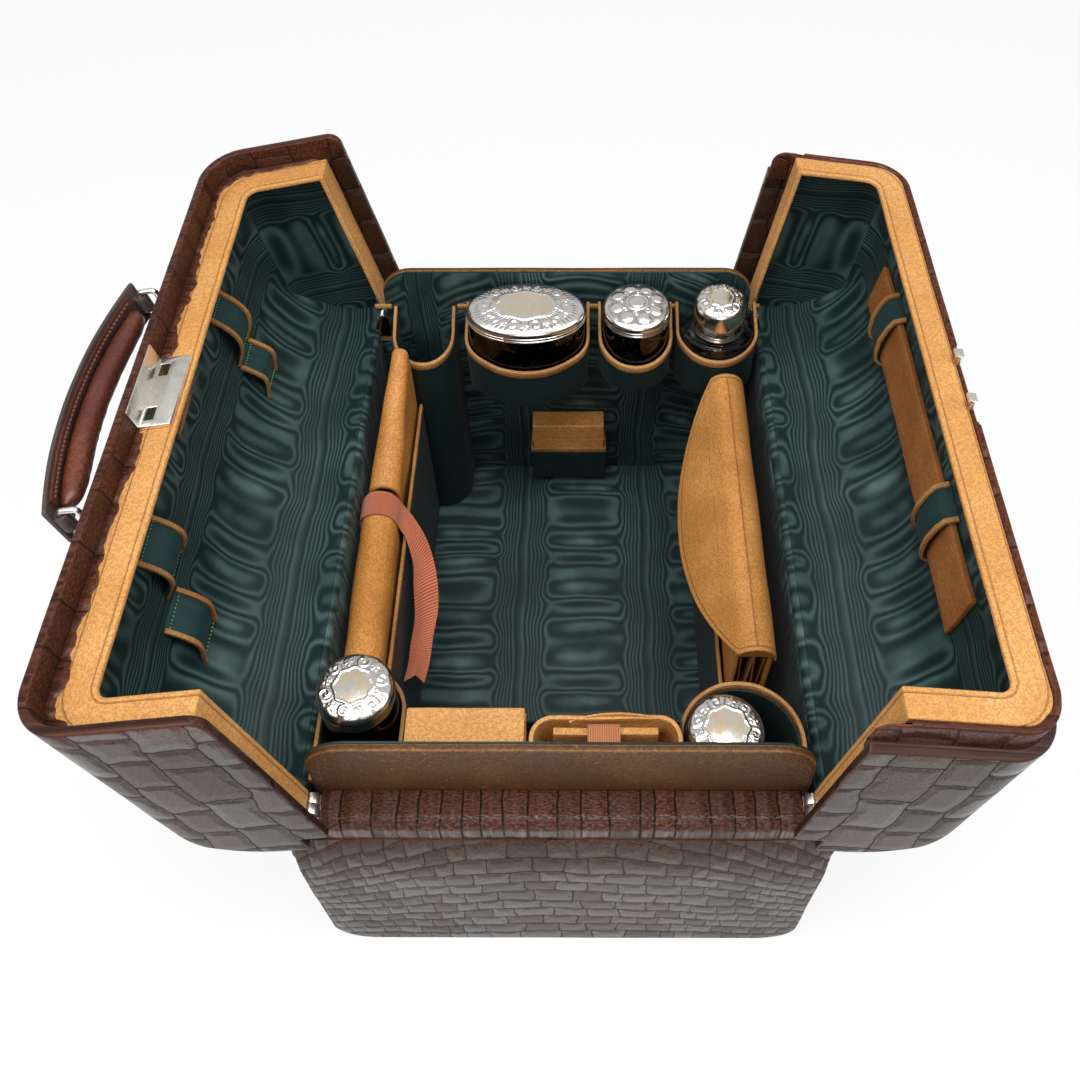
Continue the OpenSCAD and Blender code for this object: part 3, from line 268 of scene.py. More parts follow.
    def _silk(self) -> bpy.types.NodeTree:
        """Watered silk: fringes of a slow field, nested ovals between bundles of fine lines."""
        w, src, out = self._open("watered_silk", [
            ("Chart", "Vector", None), ("Column", "Float", 0.1), ("Phase", "Float", 0.0)],
            ["Water", "Rib"])
        drift = w.noise(src.outputs["Chart"], 14.0, 2.0)
        shift = w.vector("SCALE", w.vector("SUBTRACT", drift.outputs["Color"], (0.5, 0.5, 0.5)),
                         scale=0.014)
        parts = w.add("SeparateXYZ", {0: w.vector("ADD", src.outputs["Chart"], shift)})
        column = w.math("ADD", w.math("DIVIDE", parts.outputs["X"], src.outputs["Column"]),
                        src.outputs["Phase"])
        index = w.math("FLOOR", w.math("ADD", column, 0.5))
        beside = w.math("SUBTRACT", column, index)
        bend = w.math("SINE", w.math("MULTIPLY", column, math.pi))
        edge = w.math("MULTIPLY", bend, bend)
        climb = w.math("POWER", w.step(w.math("ABSOLUTE", beside), 0.25, 0.5), 1.3)
        bundle = w.math("MULTIPLY", w.math("MULTIPLY", w.math("SIGN", beside), climb), 6.0)
        spot = w.add("CombineXYZ", {0: w.math("MULTIPLY", index, 3.7), 1: parts.outputs["Y"]})
        slow = w.noise(spot.outputs[0], 16.0, 2.0).outputs["Fac"]
        phase = w.math("ADD", w.math("DIVIDE", parts.outputs["Y"], 0.046),
                       w.math("ADD", w.math("MULTIPLY", slow, 2.2),
                              w.math("MULTIPLY", index, 0.37)))
        wave = w.math("SINE", w.math("MULTIPLY", phase, math.tau))
        fade = w.math("SUBTRACT", 1.0, w.math("MULTIPLY", edge, edge))
        field_height = w.math("ADD", bundle, w.math("MULTIPLY", w.math("MULTIPLY", fade, wave),
                                                    1.15))
        fringe = w.math("SINE", w.math("MULTIPLY", field_height, math.tau))
        soft = w.noise(src.outputs["Chart"], 30.0, 3.0).outputs["Fac"]
        light = w.math("POWER", w.math("ADD", w.math("MULTIPLY", fringe, 0.5), 0.5), 1.6)
        lines = w.math("MULTIPLY", w.math("MULTIPLY", light, w.step(edge, 0.2, 0.9, 0.66, 0.46)),
                       w.step(soft, 0.3, 0.7, 0.5, 1.0))
        swell = w.math("MULTIPLY", w.step(wave, 0.1, 1.0), w.step(edge, 0.6, 0.05))
        ovals = w.math("ADD", lines, w.math("MULTIPLY", swell, w.step(soft, 0.35, 0.7, 0.0, 0.4)))
        ribs = w.math("SINE", w.math("MULTIPLY", parts.outputs["Y"], math.tau / 0.0007))
        w.tree.links.new(ovals, out.inputs["Water"])
        w.tree.links.new(w.math("ADD", w.math("MULTIPLY", ribs, 0.3), ovals), out.inputs["Rib"])
        return w.tree

    def _wear(self) -> bpy.types.NodeTree:
        """How far a point is rounded away by a bevel of the given radius."""
        w, src, out = self._open("edge_wear", [
            ("Vector", "Vector", None), ("Radius", "Float", 0.0015)], ["Mask"])
        soft = w.add("Bevel", {"Radius": src.outputs["Radius"]}, samples=4)
        flat = w.add("NewGeometry")
        turn = w.add("VectorMath", {0: soft.outputs[0], 1: flat.outputs["Normal"]},
                     operation="DOT_PRODUCT").outputs["Value"]
        rub = w.noise(src.outputs["Vector"], 260.0, 4.0).outputs["Fac"]
        mask = w.math("MULTIPLY", w.step(turn, 0.995, 0.80), w.step(rub, 0.3, 0.62, 0.35, 1.0))
        w.tree.links.new(mask, out.inputs["Mask"])
        return w.tree

    def _patches(self) -> bpy.types.NodeTree:
        """Slow change of tone over a surface."""
        w, src, out = self._open("patches", [
            ("Vector", "Vector", None), ("Size", "Float", 0.05)], ["Tone", "Speck"])
        scale = w.math("DIVIDE", 1.0, src.outputs["Size"])
        slow = w.add("TexNoise", {"Vector": src.outputs["Vector"], "Scale": scale, "Detail": 3.0})
        dots = w.add("TexNoise", {"Vector": src.outputs["Vector"], "Detail": 2.0,
                                  "Scale": w.math("MULTIPLY", scale, 14.0)})
        w.tree.links.new(w.step(slow.outputs["Fac"], 0.3, 0.7), out.inputs["Tone"])
        w.tree.links.new(w.step(dots.outputs["Fac"], 0.66, 0.72), out.inputs["Speck"])
        return w.tree


Colour = tuple[float, float, float]


def rgba(colour: Colour, gain: float = 1.0) -> tuple[float, float, float, float]:
    """Gives a linear colour its alpha, after an optional gain."""
    return (colour[0] * gain, colour[1] * gain, colour[2] * gain, 1.0)


@dataclass(frozen=True)
class Finish:
    """A surface finish that makes one material."""

    name: str

    def start(self) -> tuple[bpy.types.Material, Wiring, bpy.types.Node]:
        """Opens the material.

        Returns:
            The material, its wiring and its Principled shader.
        """
        material = bpy.data.materials.new(self.name)
        material.use_nodes = True
        shader = material.node_tree.nodes["Principled BSDF"]
        return material, Wiring(material.node_tree), shader

    @staticmethod
    def bump(w: Wiring, shader: bpy.types.Node, height: object, depth: float,
             strength: float = 1.0) -> None:
        """Feeds a height in metres times depth into the shader's normal."""
        node = w.add("Bump", {"Height": height, "Distance": depth, "Strength": strength})
        w.tree.links.new(node.outputs[0], shader.inputs["Normal"])


@dataclass(frozen=True)
class Crocodile(Finish):
    """Glazed crocodile: glossy scales between dark grooves; the "rim" mark reddens a worn rim and
    paints shade atop end panels.
    """

    length: float = 0.028
    width: float = 0.017
    dark: Colour = (0.022, 0.0105, 0.0070)
    light: Colour = (0.175, 0.078, 0.043)
    red: Colour = (0.30, 0.072, 0.032)
    groove: Colour = (0.010, 0.005, 0.004)
    redness: float = 0.0
    depth: float = 0.0025
    disorder: float = 0.008

    def build(self, fx: Effects) -> bpy.types.Material:
        """Makes the material."""
        material, w, shader = self.start()
        chart = w.add("UVMap", uv_map="chart").outputs[0]
        place = w.add("TexCoord").outputs["Object"]
        scales = w.group(fx.scales, Chart=chart, Length=self.length, Width=self.width,
                         Disorder=self.disorder)
        tone = w.group(fx.patches, Vector=place, Size=0.07)
        wear = w.group(fx.wear, Vector=place, Radius=0.0025)
        # On the leaves the "rim" mark is real redness and wear at the meeting edge; on the end
        # panels it is painted shade under the rail, browner and darker toward their tops.
        rim = w.add("Attribute", attribute_name="rim").outputs["Fac"]
        body = w.mix(w.math("MULTIPLY", scales.outputs["Tone"], tone.outputs["Tone"]),
                     rgba(self.dark), rgba(self.light))
        red_rim_and_rail_shade = w.math("ADD", w.step(rim, 0.2, 1.0, 0.0, 0.85), self.redness, clamp=True)
        red = w.mix(w.math("MULTIPLY", scales.outputs["Tone"], 0.8), rgba(self.red),
                    rgba(self.red, 0.5))
        body = w.mix(red_rim_and_rail_shade, body, red)
        body = w.mix(w.math("MULTIPLY", w.step(scales.outputs["Crease"], 0.35, 0.7), 0.45),
                     rgba(self.dark, 0.9), body)
        body = w.mix(w.math("MULTIPLY", wear.outputs["Mask"], 0.35), body, rgba(self.red, 1.2))
        rim_wear_and_rail_shade = w.step(rim, 0.5, 1.0, 0.0, 0.6)
        body = w.mix(w.math("MAXIMUM", scales.outputs["Scale"], rim_wear_and_rail_shade), rgba(self.groove), body)
        w.tree.links.new(body, shader.inputs["Base Color"])
        polish = w.step(scales.outputs["Tone"], 0.1, 0.9, 0.0, 0.2)
        w.tree.links.new(w.math("ADD", polish, w.step(scales.outputs["Scale"], 0.0, 1.0, 0.6, 0.2)),
                         shader.inputs["Roughness"])
        w.tree.links.new(w.step(scales.outputs["Crease"], 0.45, 0.65, 0.0, 0.28),
                         shader.inputs["Coat Weight"])
        shader.inputs["Coat Roughness"].default_value = 0.1
        shader.inputs["Specular IOR Level"].default_value = 0.17
        self.bump(w, shader, scales.outputs["Height"], self.depth)
        return material


@dataclass(frozen=True)
class Hide(Finish):
    """Grained cowhide with burnished or rubbed edges and a tooled line near its seams."""

    base: Colour = (0.65, 0.300, 0.082)
    deep: Colour = (0.47, 0.20, 0.046)
    edge: Colour = (0.24, 0.085, 0.022)
    grain: float = 0.0009
    roughness: float = 0.47
    sheen: float = 0.0
    wear: float = 0.0014
    wear_amount: float = 0.7
    depth: float = 0.0003
    coat: float = 0.08
    lines: tuple[float, ...] = ()

    def build(self, fx: Effects) -> bpy.types.Material:
        """Makes the material."""
        material, w, shader = self.start()
        place = w.add("TexCoord").outputs["Object"]
        grain = w.group(fx.grain, Vector=place, Size=self.grain)
        tone = w.group(fx.patches, Vector=place, Size=0.045)
        wear = w.group(fx.wear, Vector=place, Radius=self.wear)
        seam = w.add("Attribute", attribute_name="seam").outputs["Fac"]
        body = w.mix(tone.outputs["Tone"], rgba(self.deep), rgba(self.base))
        pores = w.math("POWER", w.math("SUBTRACT", 1.0, grain.outputs["Tone"]), 2.2)
        body = w.mix(w.math("MULTIPLY", pores, 0.5), body, rgba(self.deep, 0.5))
        body = w.mix(w.math("MULTIPLY", tone.outputs["Speck"], 0.25), body, rgba(self.edge))
        body = w.mix(w.math("MULTIPLY", wear.outputs["Mask"], self.wear_amount), body,
                     rgba(self.edge))
        line = 0.0
        for at in self.lines:
            off = w.math("ABSOLUTE", w.math("SUBTRACT", seam, at))
            line = w.math("ADD", line, w.step(off, 0.0006, 0.0001), clamp=True)
        body = w.mix(w.math("MULTIPLY", line, 0.6), body, rgba(self.edge))
        w.tree.links.new(body, shader.inputs["Base Color"])
        w.tree.links.new(w.step(grain.outputs["Tone"], 0.0, 1.0, self.roughness + 0.14,
                                self.roughness - 0.04), shader.inputs["Roughness"])
        shader.inputs["Coat Weight"].default_value = self.coat
        shader.inputs["Coat Roughness"].default_value = 0.35
        shader.inputs["Specular IOR Level"].default_value = 0.28
        height = w.math("SUBTRACT", grain.outputs["Height"], w.math("MULTIPLY", line, 1.6))
        self.bump(w, shader, height, self.depth)
        return material


@dataclass(frozen=True)
class WateredSilk(Finish):
    """Ribbed silk with a watermark, laid by the piece's own chart."""

    dark: Colour = (0.0022, 0.0150, 0.0150)
    light: Colour = (0.115, 0.195, 0.185)
    column: float = 0.1
    phase: float = 0.0
    strength: float = 1.0

    def build(self, fx: Effects) -> bpy.types.Material:
        """Makes the material."""
        material, w, shader = self.start()
        chart = w.add("UVMap", uv_map="chart").outputs[0]
        place = w.add("TexCoord").outputs["Object"]
        silk = w.group(fx.silk, Chart=chart, Column=self.column, Phase=self.phase)
        tone = w.group(fx.patches, Vector=place, Size=0.06)
        water = w.math("MULTIPLY", silk.outputs["Water"], self.strength)
        body = w.mix(water, rgba(self.dark), rgba(self.light))
        body = w.mix(w.math("MULTIPLY", tone.outputs["Tone"], 0.35), body, rgba(self.dark))
        w.tree.links.new(body, shader.inputs["Base Color"])
        w.tree.links.new(w.step(water, 0.0, 1.0, 0.5, 0.36), shader.inputs["Roughness"])
        shader.inputs["Sheen Weight"].default_value = 0.04
        shader.inputs["Sheen Roughness"].default_value = 0.4
        shader.inputs["Specular IOR Level"].default_value = 0.26
        self.bump(w, shader, silk.outputs["Rib"], 0.00012)
        return material


@dataclass(frozen=True)
class RibbedRibbon(Finish):
    """Grosgrain: fine ribs across the ribbon."""

    base: Colour = (0.60, 0.155, 0.065)

    def build(self, fx: Effects) -> bpy.types.Material:
        """Makes the material."""
        material, w, shader = self.start()
        chart = w.add("UVMap", uv_map="chart").outputs[0]
        parts = w.add("SeparateXYZ", {0: chart})
        warp = w.noise(chart, 300.0, 3.0).outputs["Fac"]
        rib = w.math("SINE", w.math("ADD", w.math("MULTIPLY", parts.outputs["Y"],
                                                  math.tau / 0.0012),
                                    w.math("MULTIPLY", warp, 1.4)))
        tone = w.group(fx.patches, Vector=chart, Size=0.012)
        rise = w.math("ADD", w.math("MULTIPLY", rib, 0.5), 0.5)
        # Colour follows the rib height: painted shade in the valleys between ribs and painted light
        # on their crests.
        body = w.mix(rise, rgba(self.base, 0.5), rgba(self.base, 1.15))
        body = w.mix(w.math("MULTIPLY", tone.outputs["Tone"], 0.3), body, rgba(self.base, 0.6))
        w.tree.links.new(body, shader.inputs["Base Color"])
        w.tree.links.new(w.step(rise, 0.0, 1.0, 0.75, 0.5), shader.inputs["Roughness"])
        shader.inputs["Sheen Weight"].default_value = 0.25
        self.bump(w, shader, rise, 0.00025)
        return material


@dataclass(frozen=True)
class Metal(Finish):
    """Polished plate with hairlines, tarnish in its hollows and small dents."""

    base: Colour = (0.80, 0.77, 0.72)
    tarnish: Colour = (0.09, 0.072, 0.058)
    tint: Colour = (0.72, 0.52, 0.33)
    roughness: float = 0.2
    chased: bool = False

    def build(self, fx: Effects) -> bpy.types.Material:
        """Makes the material."""
        material, w, shader = self.start()
        place = w.add("TexCoord").outputs["Object"]
        hair = w.noise(w.vector("MULTIPLY", place, (1.0, 0.08, 1.0)), 2600.0, 3.0).outputs["Fac"]
        tone = w.group(fx.patches, Vector=place, Size=0.018)
        cloud = w.noise(place, 150.0, 3.0).outputs["Fac"]
        body = w.mix(w.math("MULTIPLY", w.step(cloud, 0.5, 0.72), 0.4), rgba(self.base),
                     rgba(self.tint))
        dirt = w.math("MULTIPLY", tone.outputs["Tone"], 0.22)
        if self.chased:
            plain = w.add("Attribute", attribute_name="plain").outputs["Fac"]
            warm = w.math("MULTIPLY", plain, w.step(cloud, 0.35, 0.65, 0.15, 0.85))
            body = w.mix(warm, body, (0.93, 0.76, 0.50, 1.0))
            relief = w.add("Attribute", attribute_name="relief").outputs["Fac"]
            dirt = w.math("ADD", w.step(relief, 0.42, 0.08, 0.0, 0.72),
                          w.math("MULTIPLY", dirt, 0.4), clamp=True)
        body = w.mix(dirt, body, rgba(self.tarnish))
        w.tree.links.new(body, shader.inputs["Base Color"])
        w.tree.links.new(w.math("ADD", w.step(hair, 0.3, 0.7, self.roughness - 0.04,
                                              self.roughness + 0.08),
                                w.math("MULTIPLY", dirt, 0.3)), shader.inputs["Roughness"])
        shader.inputs["Metallic"].default_value = 1.0
        self.bump(w, shader, w.math("ADD", hair, w.math("MULTIPLY", cloud, 4.0)), 0.00003)
        return material


@dataclass(frozen=True)
class CutGlass(Finish):
    """Clear glass with a faint haze of handling."""

    def build(self, fx: Effects) -> bpy.types.Material:
        """Makes the material."""
        material, w, shader = self.start()
        place = w.add("TexCoord").outputs["Object"]
        haze = w.noise(place, 90.0, 3.0).outputs["Fac"]
        w.tree.links.new(w.step(haze, 0.4, 0.8, 0.015, 0.09), shader.inputs["Roughness"])
        w.tree.links.new(w.mix(haze, (0.90, 0.94, 0.94, 1.0), (0.98, 1.0, 1.0, 1.0)),
                         shader.inputs["Base Color"])
        shader.inputs["Transmission Weight"].default_value = 1.0
        shader.inputs["IOR"].default_value = 1.5
        self.bump(w, shader, haze, 0.0003)
        return material


# ---------------------------------------------------------------- mesh making
class Piece:
    """A piece of the case while its mesh is being made."""

    def __init__(self, name: str) -> None:
        """Opens an empty mesh under the piece's name."""
        self.name = name
        self.bm = bmesh.new()
        self.nodes: tuple[str, ...] = ()

    @classmethod
    def copy(cls, name: str, *nodes: str) -> "Piece":
        """Starts from merged copies of the frame's nodes, which the piece will replace."""
        piece = cls(name)
        piece.nodes = nodes
        for node in nodes:
            piece.bm.from_mesh(frame["nodes"][node].data)
        bmesh.ops.remove_doubles(piece.bm, verts=piece.bm.verts[:], dist=4e-6)
        bmesh.ops.dissolve_limit(piece.bm, angle_limit=math.radians(0.6),
                                 verts=piece.bm.verts[:], edges=piece.bm.edges[:])
        return piece

    def round_edges(self, width: float, segments: int = 2, angle: float = 35.0,
                    within: Callable[[Vector], bool] | None = None) -> "Piece":
        """Rolls every edge sharper than an angle.

        Args:
            width: Width of the roll.
            segments: Steps across it.
            angle: Edges sharper than this, in degrees, are rolled.
            within: Keeps only the edges whose middle it accepts.

        Returns:
            The piece.
        """
        limit = math.radians(angle)
        volume = self.bm.calc_volume()
        largest = max(f.calc_area() for f in self.bm.faces)
        for _ in range(4):
            trial = self.bm.copy()
            edges = [e for e in trial.edges
                     if len(e.link_faces) == 2 and e.calc_face_angle(0.0) > limit
                     and (within is None or within((e.verts[0].co + e.verts[1].co) / 2))]
            bmesh.ops.bevel(trial, geom=edges, offset=width, offset_type="OFFSET",
                            segments=segments, profile=0.5, affect="EDGES",
                            clamp_overlap=False, material=-1, loop_slide=True)
            change = abs(trial.calc_volume() / volume - 1.0)
            if change < 0.06 and max(f.calc_area() for f in trial.faces) < largest * 1.01:
                self.bm.free()
                self.bm = trial
                return self
            trial.free()
            width *= 0.5
        log.warning("%s: edges left sharp", self.name)
        return self

    def refine(self, longest: float) -> "Piece":
        """Slices the mesh by planes a length apart along each axis."""
        for axis in range(3):
            normal = Vector((0.0, 0.0, 0.0))
            normal[axis] = 1.0
            low = min(v.co[axis] for v in self.bm.verts)
            high = max(v.co[axis] for v in self.bm.verts)
            for k in range(1, int((high - low) / longest) + 1):
                bmesh.ops.bisect_plane(
                    self.bm, geom=self.bm.verts[:] + self.bm.edges[:] + self.bm.faces[:],
                    plane_co=normal * (low + k * longest - 0.0004), plane_no=normal,
                    dist=2e-6)
        return self

    def sway(self, amount: float, size: float,
             hold: Callable[[Vector], float] | None = None) -> "Piece":
        """Moves the mesh by a slow vector noise, as hand-worked leather and cloth lie.

        Args:
            amount: Largest move.
            size: Length over which the noise changes.
            hold: Share of the move that a point takes.

        Returns:
            The piece.
        """
        for v in self.bm.verts:
            push = noise.noise_vector(v.co / size) * amount
            v.co += push * (hold(v.co) if hold else 1.0)
        return self

    def grid(self, columns: int, rows: int, place: Callable[[float, float], Vector]) -> "Piece":
        """Lays a sheet of quads and moves each point to its place.

        Args:
            columns: Quads across.
            rows: Quads along.
            place: Gives the point at two shares from 0 to 1, across and along.

        Returns:
            The piece.
        """
        uv = self.bm.loops.layers.uv.new("chart")
        made = bmesh.ops.create_grid(self.bm, x_segments=columns, y_segments=rows, size=0.5)
        for v in made["verts"]:
            v.co = (v.co.x + 0.5, v.co.y + 0.5, 0.0)
        for face in self.bm.faces:
            for loop in face.loops:
                loop[uv].uv = loop.vert.co.xy
        for v in made["verts"]:
            v.co = place(v.co.x, v.co.y)
        self.bm.normal_update()
        return self

    def thicken(self, depth: float) -> "Piece":
        """Gives a sheet its thickness."""
        bmesh.ops.recalc_face_normals(self.bm, faces=self.bm.faces[:])
        bmesh.ops.solidify(self.bm, geom=self.bm.faces[:], thickness=depth)
        bmesh.ops.recalc_face_normals(self.bm, faces=self.bm.faces[:])
        return self

    def mark(self, name: str, value: Callable[[Vector], float]) -> "Piece":
        """Stores a number per point for the material to read."""
        layer = self.bm.verts.layers.float.new(name)
        for v in self.bm.verts:
            v[layer] = value(v.co)
        return self

    def chart(self, mapping: Mapping) -> "Piece":
        """Writes the chart, a UV map in metres, from each corner's place and face normal."""
        self.bm.normal_update()
        layer = self.bm.loops.layers.uv.get("chart") or self.bm.loops.layers.uv.new("chart")
        for face in self.bm.faces:
            for loop in face.loops:
                loop[layer].uv = mapping(loop.vert.co, face.normal)
        return self

    def finish(self, material: bpy.types.Material, body: str, slot: Slot,
               smooth: float = 40.0) -> bpy.types.Object:
        """Makes the object and puts it on its body.

        Args:
            material: The piece's finish.
            body: Body that the piece rides on, or an empty string for a blended piece.
            slot: The record's slot for the finish; not used.
            smooth: Edges sharper than this angle stay sharp.

        Returns:
            The finished object.
        """
        mesh = bpy.data.meshes.new(self.name)
        self.bm.to_mesh(mesh)
        self.bm.free()
        old = mesh.attributes.get("custom_normal")
        if old:
            mesh.attributes.remove(old)
        mesh.shade_smooth()
        mesh.set_sharp_from_angle(angle=math.radians(smooth))
        mesh.materials.clear()
        mesh.materials.append(material)
        for polygon in mesh.polygons:
            polygon.material_index = 0
        obj = bpy.data.objects.new(self.name, mesh)
        bpy.context.scene.collection.objects.link(obj)
        if self.nodes:
            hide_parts(*self.nodes)
        if body:
            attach(obj, body)
        log.info("%s: %d faces on %s", self.name, len(mesh.polygons), body or "two bodies")
        return obj


@dataclass(frozen=True)
class LeafFrame:
    """The axes of one open roof leaf."""

    name: str
    side: int
    angle: float

    @property
    def body(self) -> str:
        """Name of the leaf's body."""
        return f"{self.name}_leaf"

    def world(self, u: float, y: float, v: float) -> Vector:
        """Takes a point from the leaf's axes to the frame's."""
        c, s = math.cos(self.angle), math.sin(self.angle)
        return Vector((self.side * (HINGE_X - (u * c - v * s)), y, HINGE_Z + u * s + v * c))

    def local(self, p: Vector) -> Vector:
        """Takes a point from the frame's axes to the leaf's (u, y, v)."""
        c, s = math.cos(self.angle), math.sin(self.angle)
        x, z = HINGE_X - self.side * p.x, p.z - HINGE_Z
        return Vector((x * c + z * s, p.y, -x * s + z * c))

    def turn(self, n: Vector) -> Vector:
        """Takes a direction from the frame's axes to the leaf's."""
        c, s = math.cos(self.angle), math.sin(self.angle)
        x = -self.side * n.x
        return Vector((x * c + n.z * s, n.y, -x * s + n.z * c))

    def around(self, u: float, v: float) -> float:
        """Length along the roof's outline from the top of its curve."""
        centre_u, centre_v = ROOF_R - LEAF_INSET, LEAF_H - ROOF_R
        if u >= centre_u:
            return u - centre_u
        return -(ROOF_R - 0.006) * math.atan2(centre_u - u, v - centre_v)

    def chart(self, p: Vector, n: Vector) -> tuple[float, float]:
        """Chart of the leaf: its cheeks lie flat and its roof is unrolled."""
        q, m = self.local(p), self.turn(n)
        if abs(m.y) > 0.72:
            return q.x, q.z
        return q.y, self.around(q.x, q.z)

    def silk_chart(self, p: Vector, n: Vector) -> tuple[float, float]:
        """The same with the columns along the case."""
        q, m = self.local(p), self.turn(n)
        if abs(m.y) > 0.72:
            return q.x, q.z
        return self.around(q.x, q.z), q.y

    def edge_share(self, p: Vector) -> float:
        """Rises from 0 to 1 near the meeting edge."""
        reach = LIP_U[self.name] - self.local(p).x
        return max(0.0, min(1.0, 1.0 - reach / 0.034))


LEFT = LeafFrame("left", -1, math.radians(101.6))
RIGHT = LeafFrame("right", 1, math.radians(98.2))


def box_chart(p: Vector, n: Vector) -> tuple[float, float]:
    """Chart of a box: each face by its own two axes."""
    ax, ay, az = abs(n.x), abs(n.y), abs(n.z)
    if az >= ax and az >= ay:
        return p.x, p.y
    return (p.x, p.z) if ay >= ax else (p.y, p.z)


def wrap_chart(p: Vector, n: Vector) -> tuple[float, float]:
    """Chart of the body: unrolled round its lower edges, flat on its ends."""
    if abs(n.y) > 0.72:
        crowd = (p.x / 0.13) ** 2
        return p.x * (1 + 0.45 * crowd), p.z * (1 + 0.3 * crowd)
    centre_x, centre_z, radius = HALF_W - 0.024, 0.024, 0.021
    side = math.copysign(1.0, p.x)
    if p.z > centre_z:
        run = centre_x + radius * math.pi / 2 + p.z - centre_z
    elif abs(p.x) > centre_x:
        run = centre_x + radius * math.atan2(abs(p.x) - centre_x, centre_z - p.z)
    else:
        run = abs(p.x)
    return side * run, p.y


def wrap_rows(p: Vector, n: Vector) -> tuple[float, float]:
    """The body's chart with the rows of scales along the case."""
    a, b = wrap_chart(p, n)
    return (a, b) if abs(n.y) > 0.72 else (b, a)


def rail_chart(p: Vector, n: Vector) -> tuple[float, float]:
    """Chart of a rail: one row of scales along it."""
    return p.x, 0.030 + max(-0.018, min(0.018, abs(p.y) - 0.185))


def silk_down(p: Vector, n: Vector) -> tuple[float, float]:
    """Chart of a hanging cloth: columns run down."""
    if abs(n.z) > 0.7:
        return p.x, p.y
    return (p.x, p.z) if abs(n.y) >= abs(n.x) else (p.y, p.z)


class Finishes:
    """Every material of the case."""

    def __init__(self) -> None:
        """Builds the shared effects and the materials."""
        fx = Effects()
        # The end panels' red is the brown of their painted shade under the rail, and also tints
        # their rubbed edges.
        self.panel = Crocodile("crocodile_panel", length=0.020, width=0.0165, depth=0.0015,
                               red=(0.17, 0.066, 0.022)).build(fx)
        self.side = Crocodile("crocodile_side", length=0.030, width=0.021).build(fx)
        self.leaf = Crocodile("crocodile_leaf", length=0.031, width=0.024).build(fx)
        self.rail = Crocodile("crocodile_rail", length=0.0125, width=0.060, redness=0.72,
                              red=(0.36, 0.105, 0.060), depth=0.0030,
                              disorder=0.0035).build(fx)
        self.grip = Hide("grip_leather", base=(0.17, 0.042, 0.02), deep=(0.095, 0.024, 0.013),
                         edge=(0.04, 0.014, 0.01), grain=0.0016, roughness=0.36,
                         depth=0.0005, coat=0.4).build(fx)
        self.band = Hide("band_leather", base=(0.082, 0.060, 0.053), deep=(0.056, 0.040, 0.035),
                         edge=(0.10, 0.045, 0.025), grain=0.0008, roughness=0.45,
                         coat=0.25).build(fx)
        self.tan = Hide("tan_hide", lines=(0.003,)).build(fx)
        self.rim = Hide("tan_rim", base=(0.72, 0.365, 0.120), deep=(0.61, 0.285, 0.080),
                        edge=(0.36, 0.14, 0.04), grain=0.0010, wear_amount=0.55,
                        depth=0.00038, lines=(0.003, 0.0165)).build(fx)
        self.rolled = Hide("tan_rolled", base=(0.66, 0.29, 0.068), deep=(0.48, 0.19, 0.040),
                           edge=(0.24, 0.085, 0.022), grain=0.0010, depth=0.0002).build(fx)
        self.russet = Hide("russet_hide", base=(0.44, 0.175, 0.048), deep=(0.31, 0.105, 0.026),
                           edge=(0.50, 0.25, 0.085), wear_amount=0.6).build(fx)
        self.binding = Hide("tan_binding", base=(0.52, 0.27, 0.085), deep=(0.33, 0.15, 0.04),
                            edge=(0.20, 0.08, 0.025), grain=0.0007, depth=0.0003).build(fx)
        self.stitched = Hide("stitched_binding", base=(0.34, 0.17, 0.05), deep=(0.14, 0.06, 0.018),
                             edge=(0.12, 0.05, 0.02), grain=0.0016, depth=0.0006).build(fx)
        self.board = Hide("board_hide", base=(0.112, 0.046, 0.011), deep=(0.075, 0.029, 0.007),
                          edge=(0.52, 0.27, 0.095), grain=0.0015, roughness=0.5, wear=0.002,
                          wear_amount=0.95, depth=0.00035, coat=0.0).build(fx)
        self.silk = WateredSilk("moire_silk", column=0.096, phase=-0.125).build(fx)
        self.leaf_silk = WateredSilk("moire_leaf_silk", column=0.085, phase=0.3).build(fx)
        self.pocket = WateredSilk("pocket_silk", light=(0.010, 0.034, 0.033), column=0.07,
                                  dark=(0.0025, 0.012, 0.012), strength=0.5).build(fx)
        self.strap_silk = WateredSilk("strap_silk", light=(0.024, 0.075, 0.072), column=0.03,
                                      dark=(0.009, 0.036, 0.036), strength=0.5).build(fx)
        self.ribbon = RibbedRibbon("rust_ribbon").build(fx)
        self.elastic = RibbedRibbon("elastic_band", base=(0.55, 0.20, 0.07)).build(fx)
        self.nickel = Metal("nickel_plate", base=(0.90, 0.87, 0.81), roughness=0.2,
                            tint=(0.66, 0.58, 0.46)).build(fx)
        self.silver = Metal("chased_silver", base=(0.83, 0.80, 0.76), roughness=0.17,
                            chased=True).build(fx)
        self.glass = CutGlass("clear_glass").build(fx)
        self.thread = RibbedRibbon("waxed_thread", base=(0.115, 0.06, 0.045)).build(fx)
        self.green_thread = RibbedRibbon("green_thread", base=(0.16, 0.55, 0.18)).build(fx)


